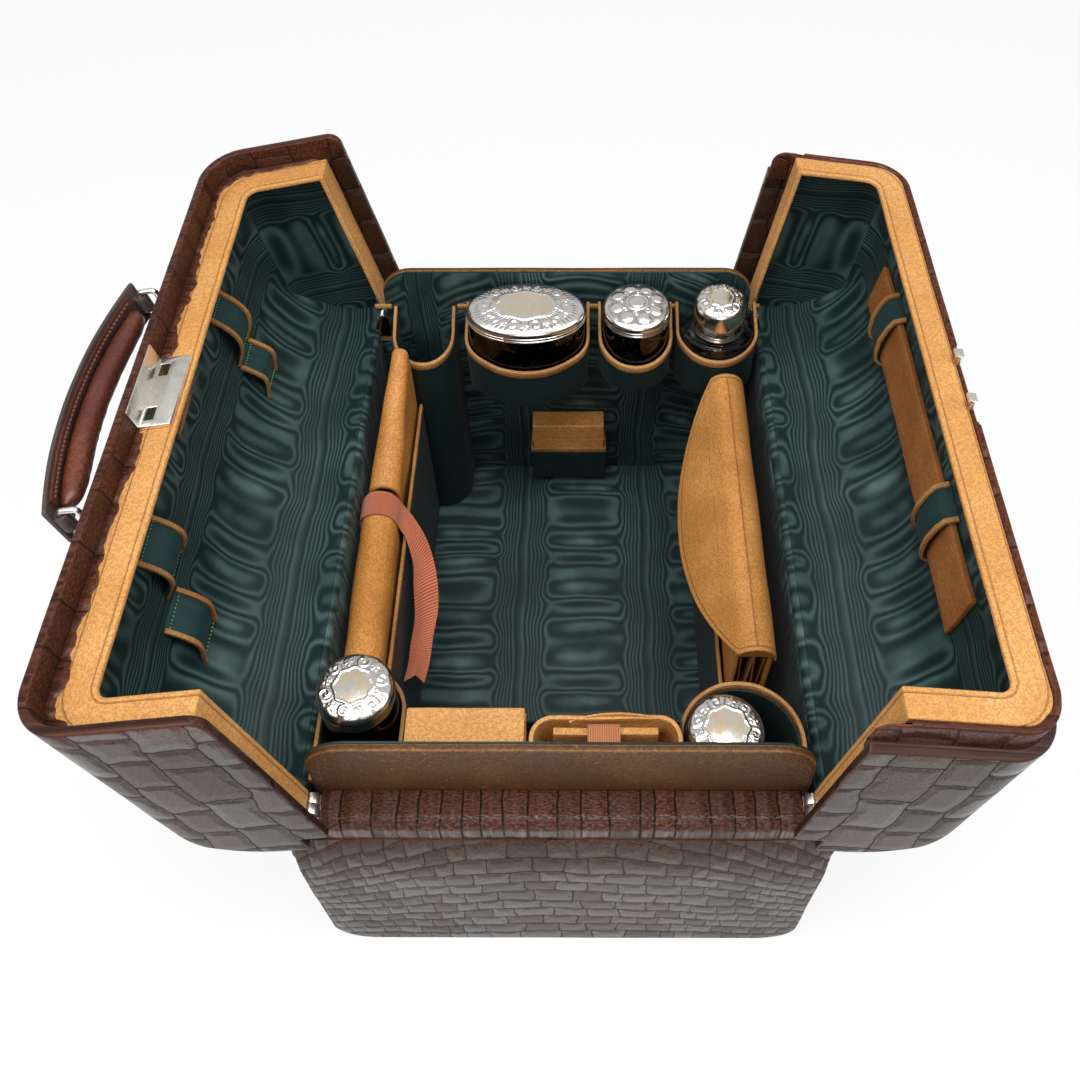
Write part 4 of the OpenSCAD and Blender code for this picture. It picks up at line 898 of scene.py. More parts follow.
@dataclass(frozen=True)
class Carried:
    """How a node of the frame is carried over: copied, rolled at its edges and charted."""

    node: str
    finish: str
    slot: Slot
    chart: Mapping = box_chart
    roll: float = 0.4
    refine: float = 0.0
    sway: float = 0.0
    sway_size: float = 0.03
    # warm marks an end panel's top for painted shade under the rail: browner and darker there.
    warm: bool = False

    def build(self, finishes: Finishes) -> bpy.types.Object:
        """Makes the piece in place of its node."""
        piece = Piece.copy(f"{self.node}_dressed", self.node)
        if self.roll:
            piece.round_edges(self.roll * MM)
        if self.refine:
            piece.refine(self.refine * MM)
        if self.sway:
            piece.sway(self.sway * MM, self.sway_size,
                       lambda p: max(0.0, min(1.0, p.z / 0.012)))
        # Painted shade under the rail: the "rim" mark rises from 115 to 155 mm up an end panel.
        if self.warm:
            piece.mark("rim", lambda p: max(0.0, min(1.0, (p.z - 0.115) / 0.04)))
        piece.chart(self.chart)
        return piece.finish(getattr(finishes, self.finish), BODY_OF[self.node], self.slot)


# ---------------------------------------------------------------- sub-assemblies
@dataclass
class Body:
    """The lower case: panels, rails, boards, lining, pockets and the fixed hinge halves."""

    parts: tuple[Carried, ...] = (
        Carried("base_board", "board", Slot.BOARD, roll=0.8),
        Carried("side_panel_left", "side", Slot.CROCODILE, wrap_rows, 0.8, 9.0, 0.35),
        Carried("side_panel_right", "side", Slot.CROCODILE, wrap_rows, 0.8, 9.0, 0.35),
        # warm=True paints shade under the rail on both end panels' tops.
        Carried("end_panel_near", "panel", Slot.CROCODILE, wrap_chart, 0.8, 9.0, 0.5, warm=True),
        Carried("end_panel_far", "panel", Slot.CROCODILE, wrap_chart, 0.8, 9.0, 0.5, warm=True),
        Carried("end_rails", "rail", Slot.CROCODILE_RED, rail_chart, 1.2, 6.0, 0.3),
        Carried("seam_welts", "side", Slot.CROCODILE, wrap_rows, 0.5, 3.0, 0.7, 0.006),
        Carried("end_board_near", "board", Slot.BOARD, roll=1.2, refine=12.0, sway=0.25,
                sway_size=0.05),
        Carried("end_board_far", "board", Slot.BOARD, roll=1.2, refine=12.0, sway=0.25,
                sway_size=0.05),
        Carried("body_lining", "silk", Slot.SILK, wrap_chart, 0.0, 10.0, 0.25, 0.05),
        Carried("oval_box_pocket", "pocket", Slot.SILK, silk_down, 0.25, 8.0, 0.3),
        Carried("jar_pocket", "pocket", Slot.SILK, silk_down, 0.25, 8.0, 0.3),
        Carried("scent_pocket", "pocket", Slot.SILK, silk_down, 0.25, 8.0, 0.3),
        Carried("empty_pocket", "pocket", Slot.SILK, silk_down, 0.25, 8.0, 0.6),
        Carried("leather_box_pockets", "pocket", Slot.SILK, silk_down, 0.25, 8.0, 0.2),
        Carried("bottle_pockets", "pocket", Slot.SILK, silk_down, 0.25, 8.0, 0.2),
        Carried("side_pockets", "pocket", Slot.SILK, silk_down, 0.25, 9.0, 0.2),
        Carried("pocket_edging", "binding", Slot.TAN, roll=0.75, refine=5.0, sway=0.2,
                sway_size=0.008),
        Carried("body_hinge_leaves", "nickel", Slot.NICKEL, roll=0.25),
        Carried("hinge_pins", "nickel", Slot.NICKEL, roll=0.2),
    )

    def build(self, finishes: Finishes) -> None:
        """Dresses every node of the body and adds the edging's stitched second row."""
        for part in self.parts:
            part.build(finishes)
        row = Piece("pocket_edging_row")
        row.bm.from_mesh(frame["nodes"]["pocket_edging"].data)
        bmesh.ops.remove_doubles(row.bm, verts=row.bm.verts[:], dist=4e-6)
        bmesh.ops.translate(row.bm, vec=(0.0, -0.0003, -0.0021), verts=row.bm.verts[:])
        row.refine(5.0 * MM).sway(0.25 * MM, 0.006).chart(box_chart)
        row.finish(finishes.stitched, "case", Slot.TAN)
        bars = Piece("pocket_edging_bars")
        for x0, x1 in ((-136.2, -124.4), (-77.6, -70.9), (15.9, 22.1), (73.9, 76.6),
                       (133.4, 136.2)):
            made = bmesh.ops.create_cube(bars.bm, size=1.0)
            for v in made["verts"]:
                v.co = Vector((((x0 + x1) / 2 + v.co.x * (x1 - x0)) * MM,
                               (167.0 + v.co.y * 2.2) * MM, (199.6 + v.co.z * 2.6) * MM))
        bars.round_edges(0.6 * MM).chart(box_chart)
        bars.finish(finishes.binding, "case", Slot.TAN)


@dataclass(frozen=True)
class Arch:
    """Round-shouldered outline across a leaf, in its (y, v) plane."""

    wide: float
    high: float
    radius: float
    low: float

    @property
    def parts(self) -> tuple[float, float, float]:
        """Lengths of an upright, of a shoulder and of the top."""
        return (self.high - self.radius - self.low, self.radius * math.pi / 2,
                2 * (self.wide - self.radius))

    @property
    def length(self) -> float:
        """Length of the whole outline."""
        straight, corner, top = self.parts
        return 2 * straight + 2 * corner + top

    def at(self, run: float) -> tuple[float, float, float, float]:
        """Point and inward direction at a length along the outline."""
        straight, corner, top = self.parts
        wide, high, radius = self.wide, self.high, self.radius
        if run < straight:
            return -wide, self.low + run, 1.0, 0.0
        run -= straight
        if run < corner:
            a = run / radius
            return (-wide + radius - radius * math.cos(a), high - radius + radius * math.sin(a),
                    math.cos(a), -math.sin(a))
        run -= corner
        if run < top:
            return -wide + radius + run, high, 0.0, -1.0
        run -= top
        if run < corner:
            a = run / radius
            return (wide - radius + radius * math.sin(a), high - radius + radius * math.cos(a),
                    -math.sin(a), -math.cos(a))
        return wide, high - radius - (run - corner), -1.0, 0.0


@dataclass
class RoofLeaf:
    """One roof leaf: crocodile shell, silk, tan rim, hinge halves and the two gussets."""

    leaf: LeafFrame

    def build(self, finishes: Finishes) -> None:
        """Builds the leaf's pieces in order."""
        self.shell(finishes)
        self.lining(finishes)
        self.rim(finishes)
        self.turned_hide(finishes)
        if self.leaf is RIGHT:
            self.facing(finishes)
        Carried(f"{self.leaf.name}_hinge_leaves", "nickel", Slot.NICKEL, roll=0.25).build(finishes)
        self.gusset(finishes, "lining", finishes.silk, Slot.SILK)
        self.gusset(finishes, "leather", finishes.side, Slot.CROCODILE)

    def shell(self, finishes: Finishes) -> None:
        """The crocodile shell, with a soft worn lip."""
        leaf = self.leaf
        piece = Piece.copy(f"{leaf.name}_leaf_hide", f"{leaf.name}_leaf_shell")
        piece.round_edges(1.3 * MM, 3)
        piece.refine(7.0 * MM)
        piece.sway(0.2 * MM, 0.03)
        piece.mark("rim", leaf.edge_share)
        piece.chart(leaf.chart)
        piece.finish(finishes.leaf, leaf.body, Slot.CROCODILE)

    def lining(self, finishes: Finishes) -> None:
        """The watered silk inside the leaf."""
        leaf = self.leaf
        piece = Piece.copy(f"{leaf.name}_leaf_silk", f"{leaf.name}_leaf_lining")
        piece.refine(8.0 * MM).sway(0.2 * MM, 0.03).chart(leaf.silk_chart)
        piece.finish(finishes.leaf_silk, leaf.body, Slot.SILK)

    def rim(self, finishes: Finishes) -> None:
        """The tan rim with two tooled lines on its face."""
        leaf = self.leaf
        piece = Piece.copy(f"{leaf.name}_rim", f"{leaf.name}_rim_frame")
        piece.round_edges(1.0 * MM, 3)
        piece.refine(4.0 * MM)
        piece.mark("seam", self.from_opening)
        piece.sway(0.2 * MM, 0.03)
        piece.chart(leaf.chart)
        piece.finish(finishes.rim, leaf.body, Slot.TAN)

    def turned_hide(self, finishes: Finishes) -> None:
        """The crocodile turned over the rim, its cut edge ragged on the tan face."""
        leaf = self.leaf
        left = leaf is LEFT
        face = RIM_U if left else LIP_U["right"]
        wide, high = (0.1961, 0.0741) if left else (0.1942, 0.0722)
        radius, low = 0.022, 0.006
        reach, rough = (0.0022, 0.0042) if left else (0.0010, 0.0016)
        rise = 0.0009 if left else 0.0004
        arch = Arch(wide, high, radius, low)
        total = arch.length

        def place(across: float, along: float) -> Vector:
            """Point of the strip at two shares, thin at its cut edge."""
            y, v, in_y, in_v = arch.at(along * total)
            ragged = noise.noise(Vector((along * total / 0.016, 3.1 + face * 9, 0.0)))
            ragged += 0.5 * noise.noise(Vector((along * total / 0.005, 7.7, 0.0)))
            width = reach + rough * max(0.0, 0.5 + ragged)
            ends = min(1.0, along * 30, (1 - along) * 30)
            sunk = 0.0
            if v > 0.07:
                clear = max(0.0, min(1.0, (abs(y - 0.005) - 0.0265) / 0.002))
                ends = min(ends, clear)
                sunk = 0.0 if left else 1.0 - clear
            off = -0.0004 + (width * ends + 0.0004) * across + 0.002 * sunk
            lift = rise * (1 - across ** 3) - 0.0004 * across ** 3 - 0.0018 * sunk
            return leaf.world(face + lift, y + in_y * off, v + in_v * off)

        piece = Piece(f"{leaf.name}_turned_hide").grid(4, 420, place)
        piece.thicken(-0.0006)
        piece.sway(0.2 * MM, 0.03)
        piece.mark("rim", lambda p: 1.0).chart(leaf.chart)
        piece.finish(finishes.leaf, leaf.body, Slot.CROCODILE)

    def facing(self, finishes: Finishes) -> None:
        """Silk over the inner face of the right leaf's stepped edge."""
        leaf = self.leaf
        arch = Arch(0.1908, 0.0688, 0.0176, 0.0005)

        def place(across: float, along: float) -> Vector:
            """Point of the strip at two shares: down the step, then toward the rim."""
            y, v, in_y, in_v = arch.at(along * arch.length)
            drop = 0.0029 * max(0.0, 1.0 - across / 0.2)
            u = 0.1074 + 0.0165 * max(0.0, across - 0.2) / 0.8
            return leaf.world(u, y - in_y * drop, v - in_v * drop)

        piece = Piece(f"{leaf.name}_leaf_facing").grid(5, 120, place)
        piece.thicken(0.0003)
        piece.sway(0.2 * MM, 0.03).chart(leaf.silk_chart)
        piece.finish(finishes.leaf_silk, leaf.body, Slot.SILK)

    def from_opening(self, p: Vector) -> float:
        """Distance of a point of the rim's face from the rounded opening in it."""
        q = self.leaf.local(p)
        a, b = abs(q.y) - 0.169, q.z - 0.0445
        return math.hypot(max(a, 0.0), max(b, 0.0)) + min(max(a, b), 0.0) - 0.007

    def gusset(self, finishes: Finishes, kind: str, material: bpy.types.Material,
               slot: Slot) -> None:
        """A strip that bends across the hinge, from the side's top edge into the leaf.

        Args:
            finishes: The case's materials; not used.
            kind: "lining" or "leather".
            material: The strip's finish.
            slot: The record's slot.
        """
        leaf = self.leaf
        if kind == "lining":
            path = [(-8.0, -19.3), (-7.3, -18.0), (-6.9, -14.5), (-7.6, -11.8), (-10.4, -10.0),
                    (-12.0, -9.9)]
            half, depth = 0.1715, 0.6 * MM
        else:
            path = [(-12.4, -19.5), (-12.2, -18.2), (-10.6, -17.3), (-9.5, -16.4), (-9.0, -15.0)]
            half, depth = 0.1915, 0.8 * MM
        count = len(path) - 1

        def place(across: float, along: float) -> Vector:
            """Point of the strip at two shares."""
            at = min(along * count, count - 1e-6)
            i = int(at)
            t = at - i
            before = Vector(path[max(i - 1, 0)])
            a, b = Vector(path[i]), Vector(path[i + 1])
            after = Vector(path[min(i + 2, count)])
            q = 0.5 * ((2 * a) + (b - before) * t + (2 * before - 5 * a + 4 * b - after) * t * t
                       + (3 * a - before - 3 * b + after) * t ** 3)
            return Vector((leaf.side * (HINGE_X - q.x * MM), half * (2 * across - 1),
                           HINGE_Z + q.y * MM))

        piece = Piece(f"{leaf.name}_{kind}_gusset_strip")
        piece.nodes = (f"{kind}_gusset_{leaf.name}",)
        piece.grid(40, 14, place)
        chart = leaf.silk_chart if kind == "lining" else wrap_rows
        piece.thicken(depth).chart(chart)
        obj = piece.finish(material, "", slot)
        leaf.body
        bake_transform(obj)


@dataclass
class Loops:
    """Silk loops with tan bindings sewn inside the leaves."""

    left_u: tuple[tuple[float, float], ...] = ((58, 100), (24, 55), (66, 100), (24, 60))
    left_y: tuple[tuple[float, float], ...] = ((88, 114), (88, 114), (-88, -58), (-106, -79))
    bow: float = 10.0
    right_y: tuple[tuple[float, float], ...] = ((94, 118), (-56, -31))

    @staticmethod
    def on_lining(u: float, lift: float) -> tuple[float, float]:
        """A point of the lining in a leaf's (u, v), lifted off it, in millimetres."""
        centre_u, centre_v = 48.8, 16.7
        radius = 61.8 - 5.0 - 1.2
        if u >= centre_u:
            return u, 72.3 - lift
        rise = math.sqrt(max(radius * radius - (u - centre_u) ** 2, 0.0))
        share = (radius - lift) / radius
        return centre_u + (u - centre_u) * share, centre_v + rise * share

    def strip(self, name: str, leaf: LeafFrame, path: Sequence[tuple[float, float]],
              y: tuple[float, float], depth: float) -> Piece:
        """A strap along a path in a leaf's (u, v).

        Args:
            name: The piece's name.
            leaf: The leaf that carries it.
            path: Its points in millimetres.
            y: Its two edges along the case in millimetres.
            depth: Its thickness in millimetres.

        Returns:
            The piece, with its chart.
        """
        def place(across: float, along: float) -> Vector:
            """Point of the strap at two shares."""
            at = min(along * (len(path) - 1), len(path) - 1.001)
            i = int(at)
            a, b, t = path[i], path[i + 1], at - i
            return leaf.world((a[0] + (b[0] - a[0]) * t) * MM,
                              (y[0] + (y[1] - y[0]) * across) * MM,
                              (a[1] + (b[1] - a[1]) * t) * MM)

        piece = Piece(name)
        piece.grid(4 if y[1] - y[0] < 5 else 8, 2 * (len(path) - 1), place)
        return piece.thicken(depth * MM)

    def stitches(self, name: str, leaf: LeafFrame, points: Iterable[tuple[float, float, float]],
                 run: float, material: bpy.types.Material) -> None:
        """Short stitches lying along the case at the given (u, y, v) points in millimetres."""
        piece = Piece(name)
        for u, y, v in points:
            made = bmesh.ops.create_icosphere(piece.bm, subdivisions=1, radius=0.42 * MM)
            centre = leaf.world(u * MM, y * MM, v * MM)
            for vert in made["verts"]:
                vert.co.y *= run / 0.84
                vert.co += centre
        piece.chart(box_chart).finish(material, leaf.body, Slot.SILK)

    def build(self, finishes: Finishes) -> None:
        """Builds the left leaf's four loops and the right leaf's two straps."""
        steps = 14
        threads: list[tuple[float, float, float]] = []
        for i, (u, y) in enumerate(zip(self.left_u, self.left_y), 1):
            path = []
            for k in range(steps + 1):
                lift = self.bow * math.sin(math.pi * k / steps) + 0.2
                path.append(self.on_lining(u[0] + (u[1] - u[0]) * k / steps, lift))
            piece = self.strip(f"left_loop_{i}", LEFT, path, y, 0.7)
            if i == 1:
                piece.nodes = ("left_loops",)
            piece.chart(LEFT.silk_chart).finish(finishes.strap_silk, LEFT.body, Slot.SILK)
            outer = [self.on_lining(u[0] + (u[1] - u[0]) * k / steps,
                                    self.bow * math.sin(math.pi * k / steps) + 0.6)
                     for k in range(steps + 1)]
            for j, edge in enumerate(((y[0] - 0.6, y[0] + 2.2), (y[1] - 2.2, y[1] + 0.6)), 1):
                bound = self.strip(f"left_loop_{i}_binding_{j}", LEFT, outer, edge, -1.7)
                bound.chart(LEFT.silk_chart).finish(finishes.binding, LEFT.body, Slot.TAN)
            for end in (u[0] + 1.6, u[1] - 1.6):
                lift = self.bow * math.sin(math.pi * (end - u[0]) / (u[1] - u[0])) + 1.1
                at = self.on_lining(end, lift)
                count = int((y[1] - y[0]) / 2.4)
                threads += [(at[0], y[0] + 2.4 * (k + 0.5), at[1]) for k in range(count)]
        self.stitches("left_loop_stitches", LEFT, threads, 1.3, finishes.green_thread)
        low, high, top = 49.0, 86.0, 72.3
        drop = top - 7.0
        path = [(low - 1.5, top - 0.2), (low, top - 3.5), (low + 2.0, drop + 0.6),
                (low + 8.0, drop - 1.4), ((low + high) / 2, drop - 2.6), (high - 8.0, drop - 1.4),
                (high - 2.0, drop + 0.6), (high, top - 3.5), (high + 1.5, top - 0.2)]
        for i, y in enumerate(self.right_y, 1):
            piece = self.strip(f"right_strap_{i}", RIGHT, path, y, 0.7)
            if i == 1:
                piece.nodes = ("right_loops",)
            piece.chart(RIGHT.silk_chart).finish(finishes.strap_silk, RIGHT.body, Slot.SILK)
            for j, edge in enumerate(((y[0] - 0.6, y[0] + 2.4), (y[1] - 2.4, y[1] + 0.6)), 1):
                lifted = [(u, v - 0.5) for u, v in path]
                bound = self.strip(f"right_strap_{i}_binding_{j}", RIGHT, lifted, edge, -1.6)
                bound.chart(RIGHT.silk_chart).finish(finishes.binding, RIGHT.body, Slot.TAN)
        case = Piece.copy("flat_case_hide", "flat_case")
        case.round_edges(0.9 * MM).refine(9.0 * MM).sway(0.3 * MM, 0.03).chart(RIGHT.chart)
        case.finish(finishes.russet, "loose_flat_case", Slot.TAN)


@dataclass
class Handle:
    """The handle on the left leaf: lugs, square rings, stitched band and stuffed grip."""

    chape_u: float = 126.0
    middle_y: float = 5.0
    half: float = 83.0
    rise: float = 13.0
    base_v: float = 78.5 + 6.5 + 3.5 + 11.0 + 1.7

    def on_arch(self, angle: float, radius: float, across: float) -> Vector:
        """A point on the handle's arch: angle from its top, radius and place across."""
        big = (self.half ** 2 + self.rise ** 2) / (2 * self.rise)
        centre_v = self.base_v + self.rise - big
        return LEFT.world((self.chape_u + across) * MM,
                          (self.middle_y + (big + radius) * math.sin(angle)) * MM,
                          (centre_v + (big + radius) * math.cos(angle)) * MM)

    def build(self, finishes: Finishes) -> None:
        """Builds the handle's pieces."""
        Carried("handle_chapes", "band", Slot.HANDLE, roll=0.7).build(finishes)
        Carried("handle_rings", "nickel", Slot.NICKEL, roll=0.3).build(finishes)
        band = Piece.copy("handle_band_hide", "handle_band")
        band.round_edges(0.7 * MM).refine(6.0 * MM).sway(0.3 * MM, 0.03).chart(box_chart)
        band.finish(finishes.band, "handle", Slot.HANDLE)
        big = (self.half ** 2 + self.rise ** 2) / (2 * self.rise)
        reach = math.asin(self.half / big) - math.radians(2.6)
        grip = Piece("handle_grip_hide")
        grip.nodes = ("handle_grip",)

        def place(around: float, along: float) -> Vector:
            """Point of the stuffed grip at two shares: pinched ends and sewn wings."""
            turn = math.tau * around
            angle = reach * (2 * along - 1)
            pinch = math.sqrt(max(0.0, 1 - abs(2 * along - 1) ** 7)) * 0.62 + 0.38
            width, depth = 6.2 * pinch, 6.8 * pinch
            flat = math.copysign(abs(math.cos(turn)) ** 0.85, math.cos(turn))
            radius = -0.2 - depth + depth * math.sin(turn)
            return self.on_arch(angle, radius, width * flat)

        grip.grid(28, 60, place)
        bmesh.ops.remove_doubles(grip.bm, verts=grip.bm.verts[:], dist=1e-5)
        bmesh.ops.holes_fill(grip.bm, edges=[e for e in grip.bm.edges if e.is_boundary], sides=0)
        bmesh.ops.recalc_face_normals(grip.bm, faces=grip.bm.faces[:])
        grip.sway(0.35 * MM, 0.004)
        grip.chart(box_chart).finish(finishes.grip, "handle", Slot.CROCODILE_RED)
        for name, side in (("handle_wing_1", -1), ("handle_wing_2", 1)):
            wing = Piece(name)
            wing.grid(3, 60, lambda a, b, s=side: self.on_arch(
                (reach + 0.01) * (2 * b - 1), -0.15, s * (5.6 + 5.2 * a)))
            wing.thicken(1.3 * MM).sway(0.25 * MM, 0.004).chart(box_chart)
            wing.finish(finishes.grip, "handle", Slot.CROCODILE_RED)
        thread = Piece("handle_stitches")
        for side in (-1, 1):
            for k in range(46):
                angle = reach * (2 * (k + 0.5) / 46 - 1)
                made = bmesh.ops.create_icosphere(thread.bm, subdivisions=1, radius=0.75 * MM)
                centre = self.on_arch(angle, -1.75, side * 8.4)
                for vert in made["verts"]:
                    vert.co.y *= 1.9
                    vert.co += centre
        thread.chart(box_chart).finish(finishes.thread, "handle", Slot.HANDLE)


@dataclass
class Lock:
    """The lock in the left rim and the hooks in the right one."""

    parts: tuple[Carried, ...] = (
        Carried("lock_case", "nickel", Slot.NICKEL, roll=0.35),
        Carried("lock_slide", "nickel", Slot.NICKEL, roll=0.3),
        Carried("lock_hooks", "nickel", Slot.NICKEL, roll=0.3),
    )

    def build(self, finishes: Finishes) -> None:
        """Dresses the lock."""
        for part in self.parts:
            part.build(finishes)


class Ornament(Enum):
    """What is chased on a lid."""

    SCROLLS = "scrolls"
    BOSSES = "bosses"


@dataclass
class SilverLid:
    """A chased lid: a plain cartouche among scrolls, flowers and leaves."""

    node: str
    x: float
    y: float
    z0: float
    z1: float
    a: float
    b: float
    wall: float = 1.35
    neck: float = 8.2
    crown: float = 3.4
    cartouche: float = 0.46
    scrolls: int = 6
    scroll_r: float = 6.0
    flowers: int = 6
    ornament: Ornament = Ornament.SCROLLS
    turn: float = 0.3
    large: tuple[tuple[float, float, float, float], ...] = ()

    @staticmethod
    def spiral(dx: float, dy: float, radius: float, hand: float, start: float) -> float:
        """Height of a one-armed scroll about its own middle, from 0 to 1."""
        d = math.hypot(dx, dy)
        if d > radius:
            return 0.0
        phase = 1.55 * d / radius - (math.atan2(dy, dx) * hand + start) / math.tau
        ridge = (0.5 + 0.5 * math.cos(math.tau * phase)) ** 1.3
        return ridge * min(1.0, 3.2 * (1 - d / radius))

    @staticmethod
    def flower(dx: float, dy: float, radius: float, petals: int) -> float:
        """Height of a small flower about its own middle, from 0 to 1."""
        d = math.hypot(dx, dy) / radius
        if d > 1:
            return 0.0
        leaf = 0.62 + 0.38 * math.cos(petals * math.atan2(dy, dx))
        heart = 1.0 if d < 0.28 else 0.0
        return max(heart, leaf * math.sin(math.pi * min(1.0, d)) ** 0.6)

    def relief(self, x: float, y: float) -> tuple[float, float]:
        """Chasing at a point of the crown.

        Args:
            x: Place across the lid from its middle, in millimetres.
            y: Place along it.

        Returns:
            The height in millimetres and the polish, 0 in a hollow and 1 on a high place.
        """
        rho = math.hypot(x / self.a, y / self.b)
        phi = math.atan2(y / self.b, x / self.a)
        wavy = self.cartouche * (1 + 0.05 * math.cos(8 * phi))
        high = 0.9
        if self.ornament is Ornament.BOSSES:
            if rho < 0.22:
                return 0.9, 0.9
            if rho < 0.27:
                return 0.1, 0.2
            if rho < 0.34:
                return 0.8, 1.0
            best = 0.0
            for k in range(8):
                angle = self.turn + math.tau * k / 8
                d = math.hypot(x - 0.63 * self.a * math.cos(angle),
                               y - 0.63 * self.b * math.sin(angle)) / 4.3
                best = max(best, 1.5 * math.sqrt(max(0.0, 1 - d * d)))
                angle += math.pi / 8
                for ring, hand in ((0.46, 1.0), (0.84, -1.0)):
                    best = max(best, 0.75 * self.spiral(
                        x - ring * self.a * math.cos(angle),
                        y - ring * self.b * math.sin(angle), 2.7, hand, angle))
            best = max(best, 0.3 * (0.5 + 0.5 * math.cos(56 * phi + 12 * rho)))
            return best, min(1.0, 0.08 + 0.9 * best)
        if rho < wavy:
            return 0.35, 0.95
        if rho < wavy + 0.07:
            return high, 1.0
        if rho > 0.90:
            bead = 0.5 + 0.5 * math.cos(48 * phi)
            return 0.45 + 0.25 * bead, 0.45 + 0.5 * bead
        middle = 0.5 * (wavy + 0.07 + 0.90)
        best = 0.0
        for cx, cy, size, hand in self.large:
            best = max(best, self.spiral(x - cx, y - cy, size, hand, 0.0 if cx < 0 else math.pi))
        for k in range(self.scrolls):
            angle = self.turn + math.tau * k / self.scrolls
            cx, cy = self.a * middle * math.cos(angle), self.b * middle * math.sin(angle)
            hand = 1.0 if k % 2 else -1.0
            best = max(best, self.spiral(x - cx, y - cy, self.scroll_r, hand, angle * hand))
        for k in range(self.flowers):
            angle = self.turn + math.tau * (k + 0.5) / self.flowers
            cx, cy = self.a * middle * math.cos(angle), self.b * middle * math.sin(angle)
            best = max(best, 0.9 * self.flower(x - cx, y - cy, self.scroll_r * 0.62, 5))
        leaf = 0.34 * (0.5 + 0.5 * math.cos(60 * phi + 16 * rho))
        value = max(best, leaf)
        return high * value, min(1.0, 0.1 + value)

    def build(self, finishes: Finishes) -> None:
        """Spins the lid's section, makes it oval and chases the crown."""
        piece = Piece(f"{self.node}_chased")
        piece.nodes = (self.node,)
        bm = piece.bm
        height = self.z1 - self.z0
        small = min(self.a, self.b)
        shoulder = small - self.crown
        section = [(0.0, self.neck), (small - self.wall - 1.5, self.neck),
                   (small - self.wall, self.neck - 0.6), (small - self.wall, 0.0), (small, 0.0),
                   (small, 1.2), (small - 0.5, 1.5), (small - 0.5, 2.0), (small, 2.3),
                   (small, 3.6), (small - 0.5, 3.9), (small - 0.5, 4.3), (small, 4.6),
                   (small - 0.1, height - 5.6), (small - 0.7, height - 4.6)]
        rings = 40
        for k in range(rings + 1):
            share = k / rings
            r = shoulder * (1 - share)
            rim_z = height - 3.4
            if k == 0:
                section.append((small - self.crown * 0.55, rim_z + 0.35))
            section.append((r, rim_z + 0.9 + 2.5 * (1 - (r / shoulder) ** 2)))
        verts = [bm.verts.new((r * MM, 0, z * MM)) for r, z in section]
        edges = [bm.edges.new(pair) for pair in zip(verts, verts[1:])]
        bmesh.ops.spin(bm, geom=verts + edges, cent=(0, 0, 0), axis=(0, 0, 1),
                       angle=math.tau, steps=int(math.tau * self.a / 0.8), use_merge=True)
        bmesh.ops.remove_doubles(bm, verts=bm.verts[:], dist=2e-6)
        mark = bm.verts.layers.float.new("relief")
        plain = bm.verts.layers.float.new("plain")
        crown_z = height - 3.4
        for v in bm.verts:
            r = math.hypot(v.co.x, v.co.y) / MM
            z = v.co.z / MM
            phi = math.atan2(v.co.y, v.co.x)
            grow_x, grow_y = self.a - small, self.b - small
            near = min(1.0, r / small * 1.0)
            x = v.co.x / MM + grow_x * math.cos(phi) * near
            y = v.co.y / MM + grow_y * math.sin(phi) * near
            v[mark] = 0.75
            lift = 0.0
            if z > crown_z + 0.5 and z > self.neck + 0.05 and r < shoulder + 0.2:
                lift, v[mark] = self.relief(x, y)
                v[plain] = 1.0 if lift == 0.35 else 0.0
                lift *= 0.85
            v.co = Vector(((self.x + x) * MM, (self.y + y) * MM,
                           (self.z0 + z + lift - 0.55) * MM))
            if z <= self.neck + 0.01 and r < small - 0.6:
                v.co.z += 0.55 * MM
        bmesh.ops.recalc_face_normals(bm, faces=bm.faces[:])
        piece.finish(finishes.silver, BODY_OF[self.node], Slot.SILVER, 60.0)


@dataclass
class Vessels:
    """Glass bodies and their chased silver lids."""

    wall_y: float = 168.1
    glasses: tuple[str, ...] = ("oval_box_glass", "jar_glass", "scent_bottle", "tall_bottle",
                                "short_bottle")

    def build(self, finishes: Finishes) -> None:
        """Dresses the glass and builds the lids."""
        for node in self.glasses:
            Carried(node, "glass", Slot.GLASS, roll=0.6).build(finishes)
        for lid in (
            SilverLid("oval_box_lid", -27.5, self.box_y("oval_box_lid"), 215, 227, 40.6, 25.6,
                      scrolls=12, scroll_r=4.6, flowers=12, cartouche=0.46, turn=0.26,
                      large=((-27.0, 0.0, 9.0, 1.0), (27.0, 0.0, 9.0, -1.0))),
            SilverLid("jar_lid", 48, self.box_y("jar_lid"), 215, 227, 23.1, 23.1,
                      ornament=Ornament.BOSSES),
            SilverLid("scent_cap", 105, self.box_y("scent_cap"), 202.3, 230, 17.5, 17.5,
                      wall=8.2, neck=10.4, cartouche=0.44, scroll_r=4.6, crown=2.8),
            SilverLid("tall_bottle_lid", -110.5, self.box_y("tall_bottle_lid"), 199.5, 212.5,
                      21.1, 21.1, wall=3.3, scroll_r=5.0),
            SilverLid("short_bottle_lid", 88, self.box_y("short_bottle_lid"), 179.5, 192.5,
                      21.1, 21.1, wall=3.3, scroll_r=5.0, turn=0.8, cartouche=0.52),
        ):
            lid.build(finishes)

    @staticmethod
    def box_y(node: str) -> float:
        """Middle of a node along the case, in millimetres."""
        low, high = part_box(node)
        return (low.y + high.y) / 2 / MM


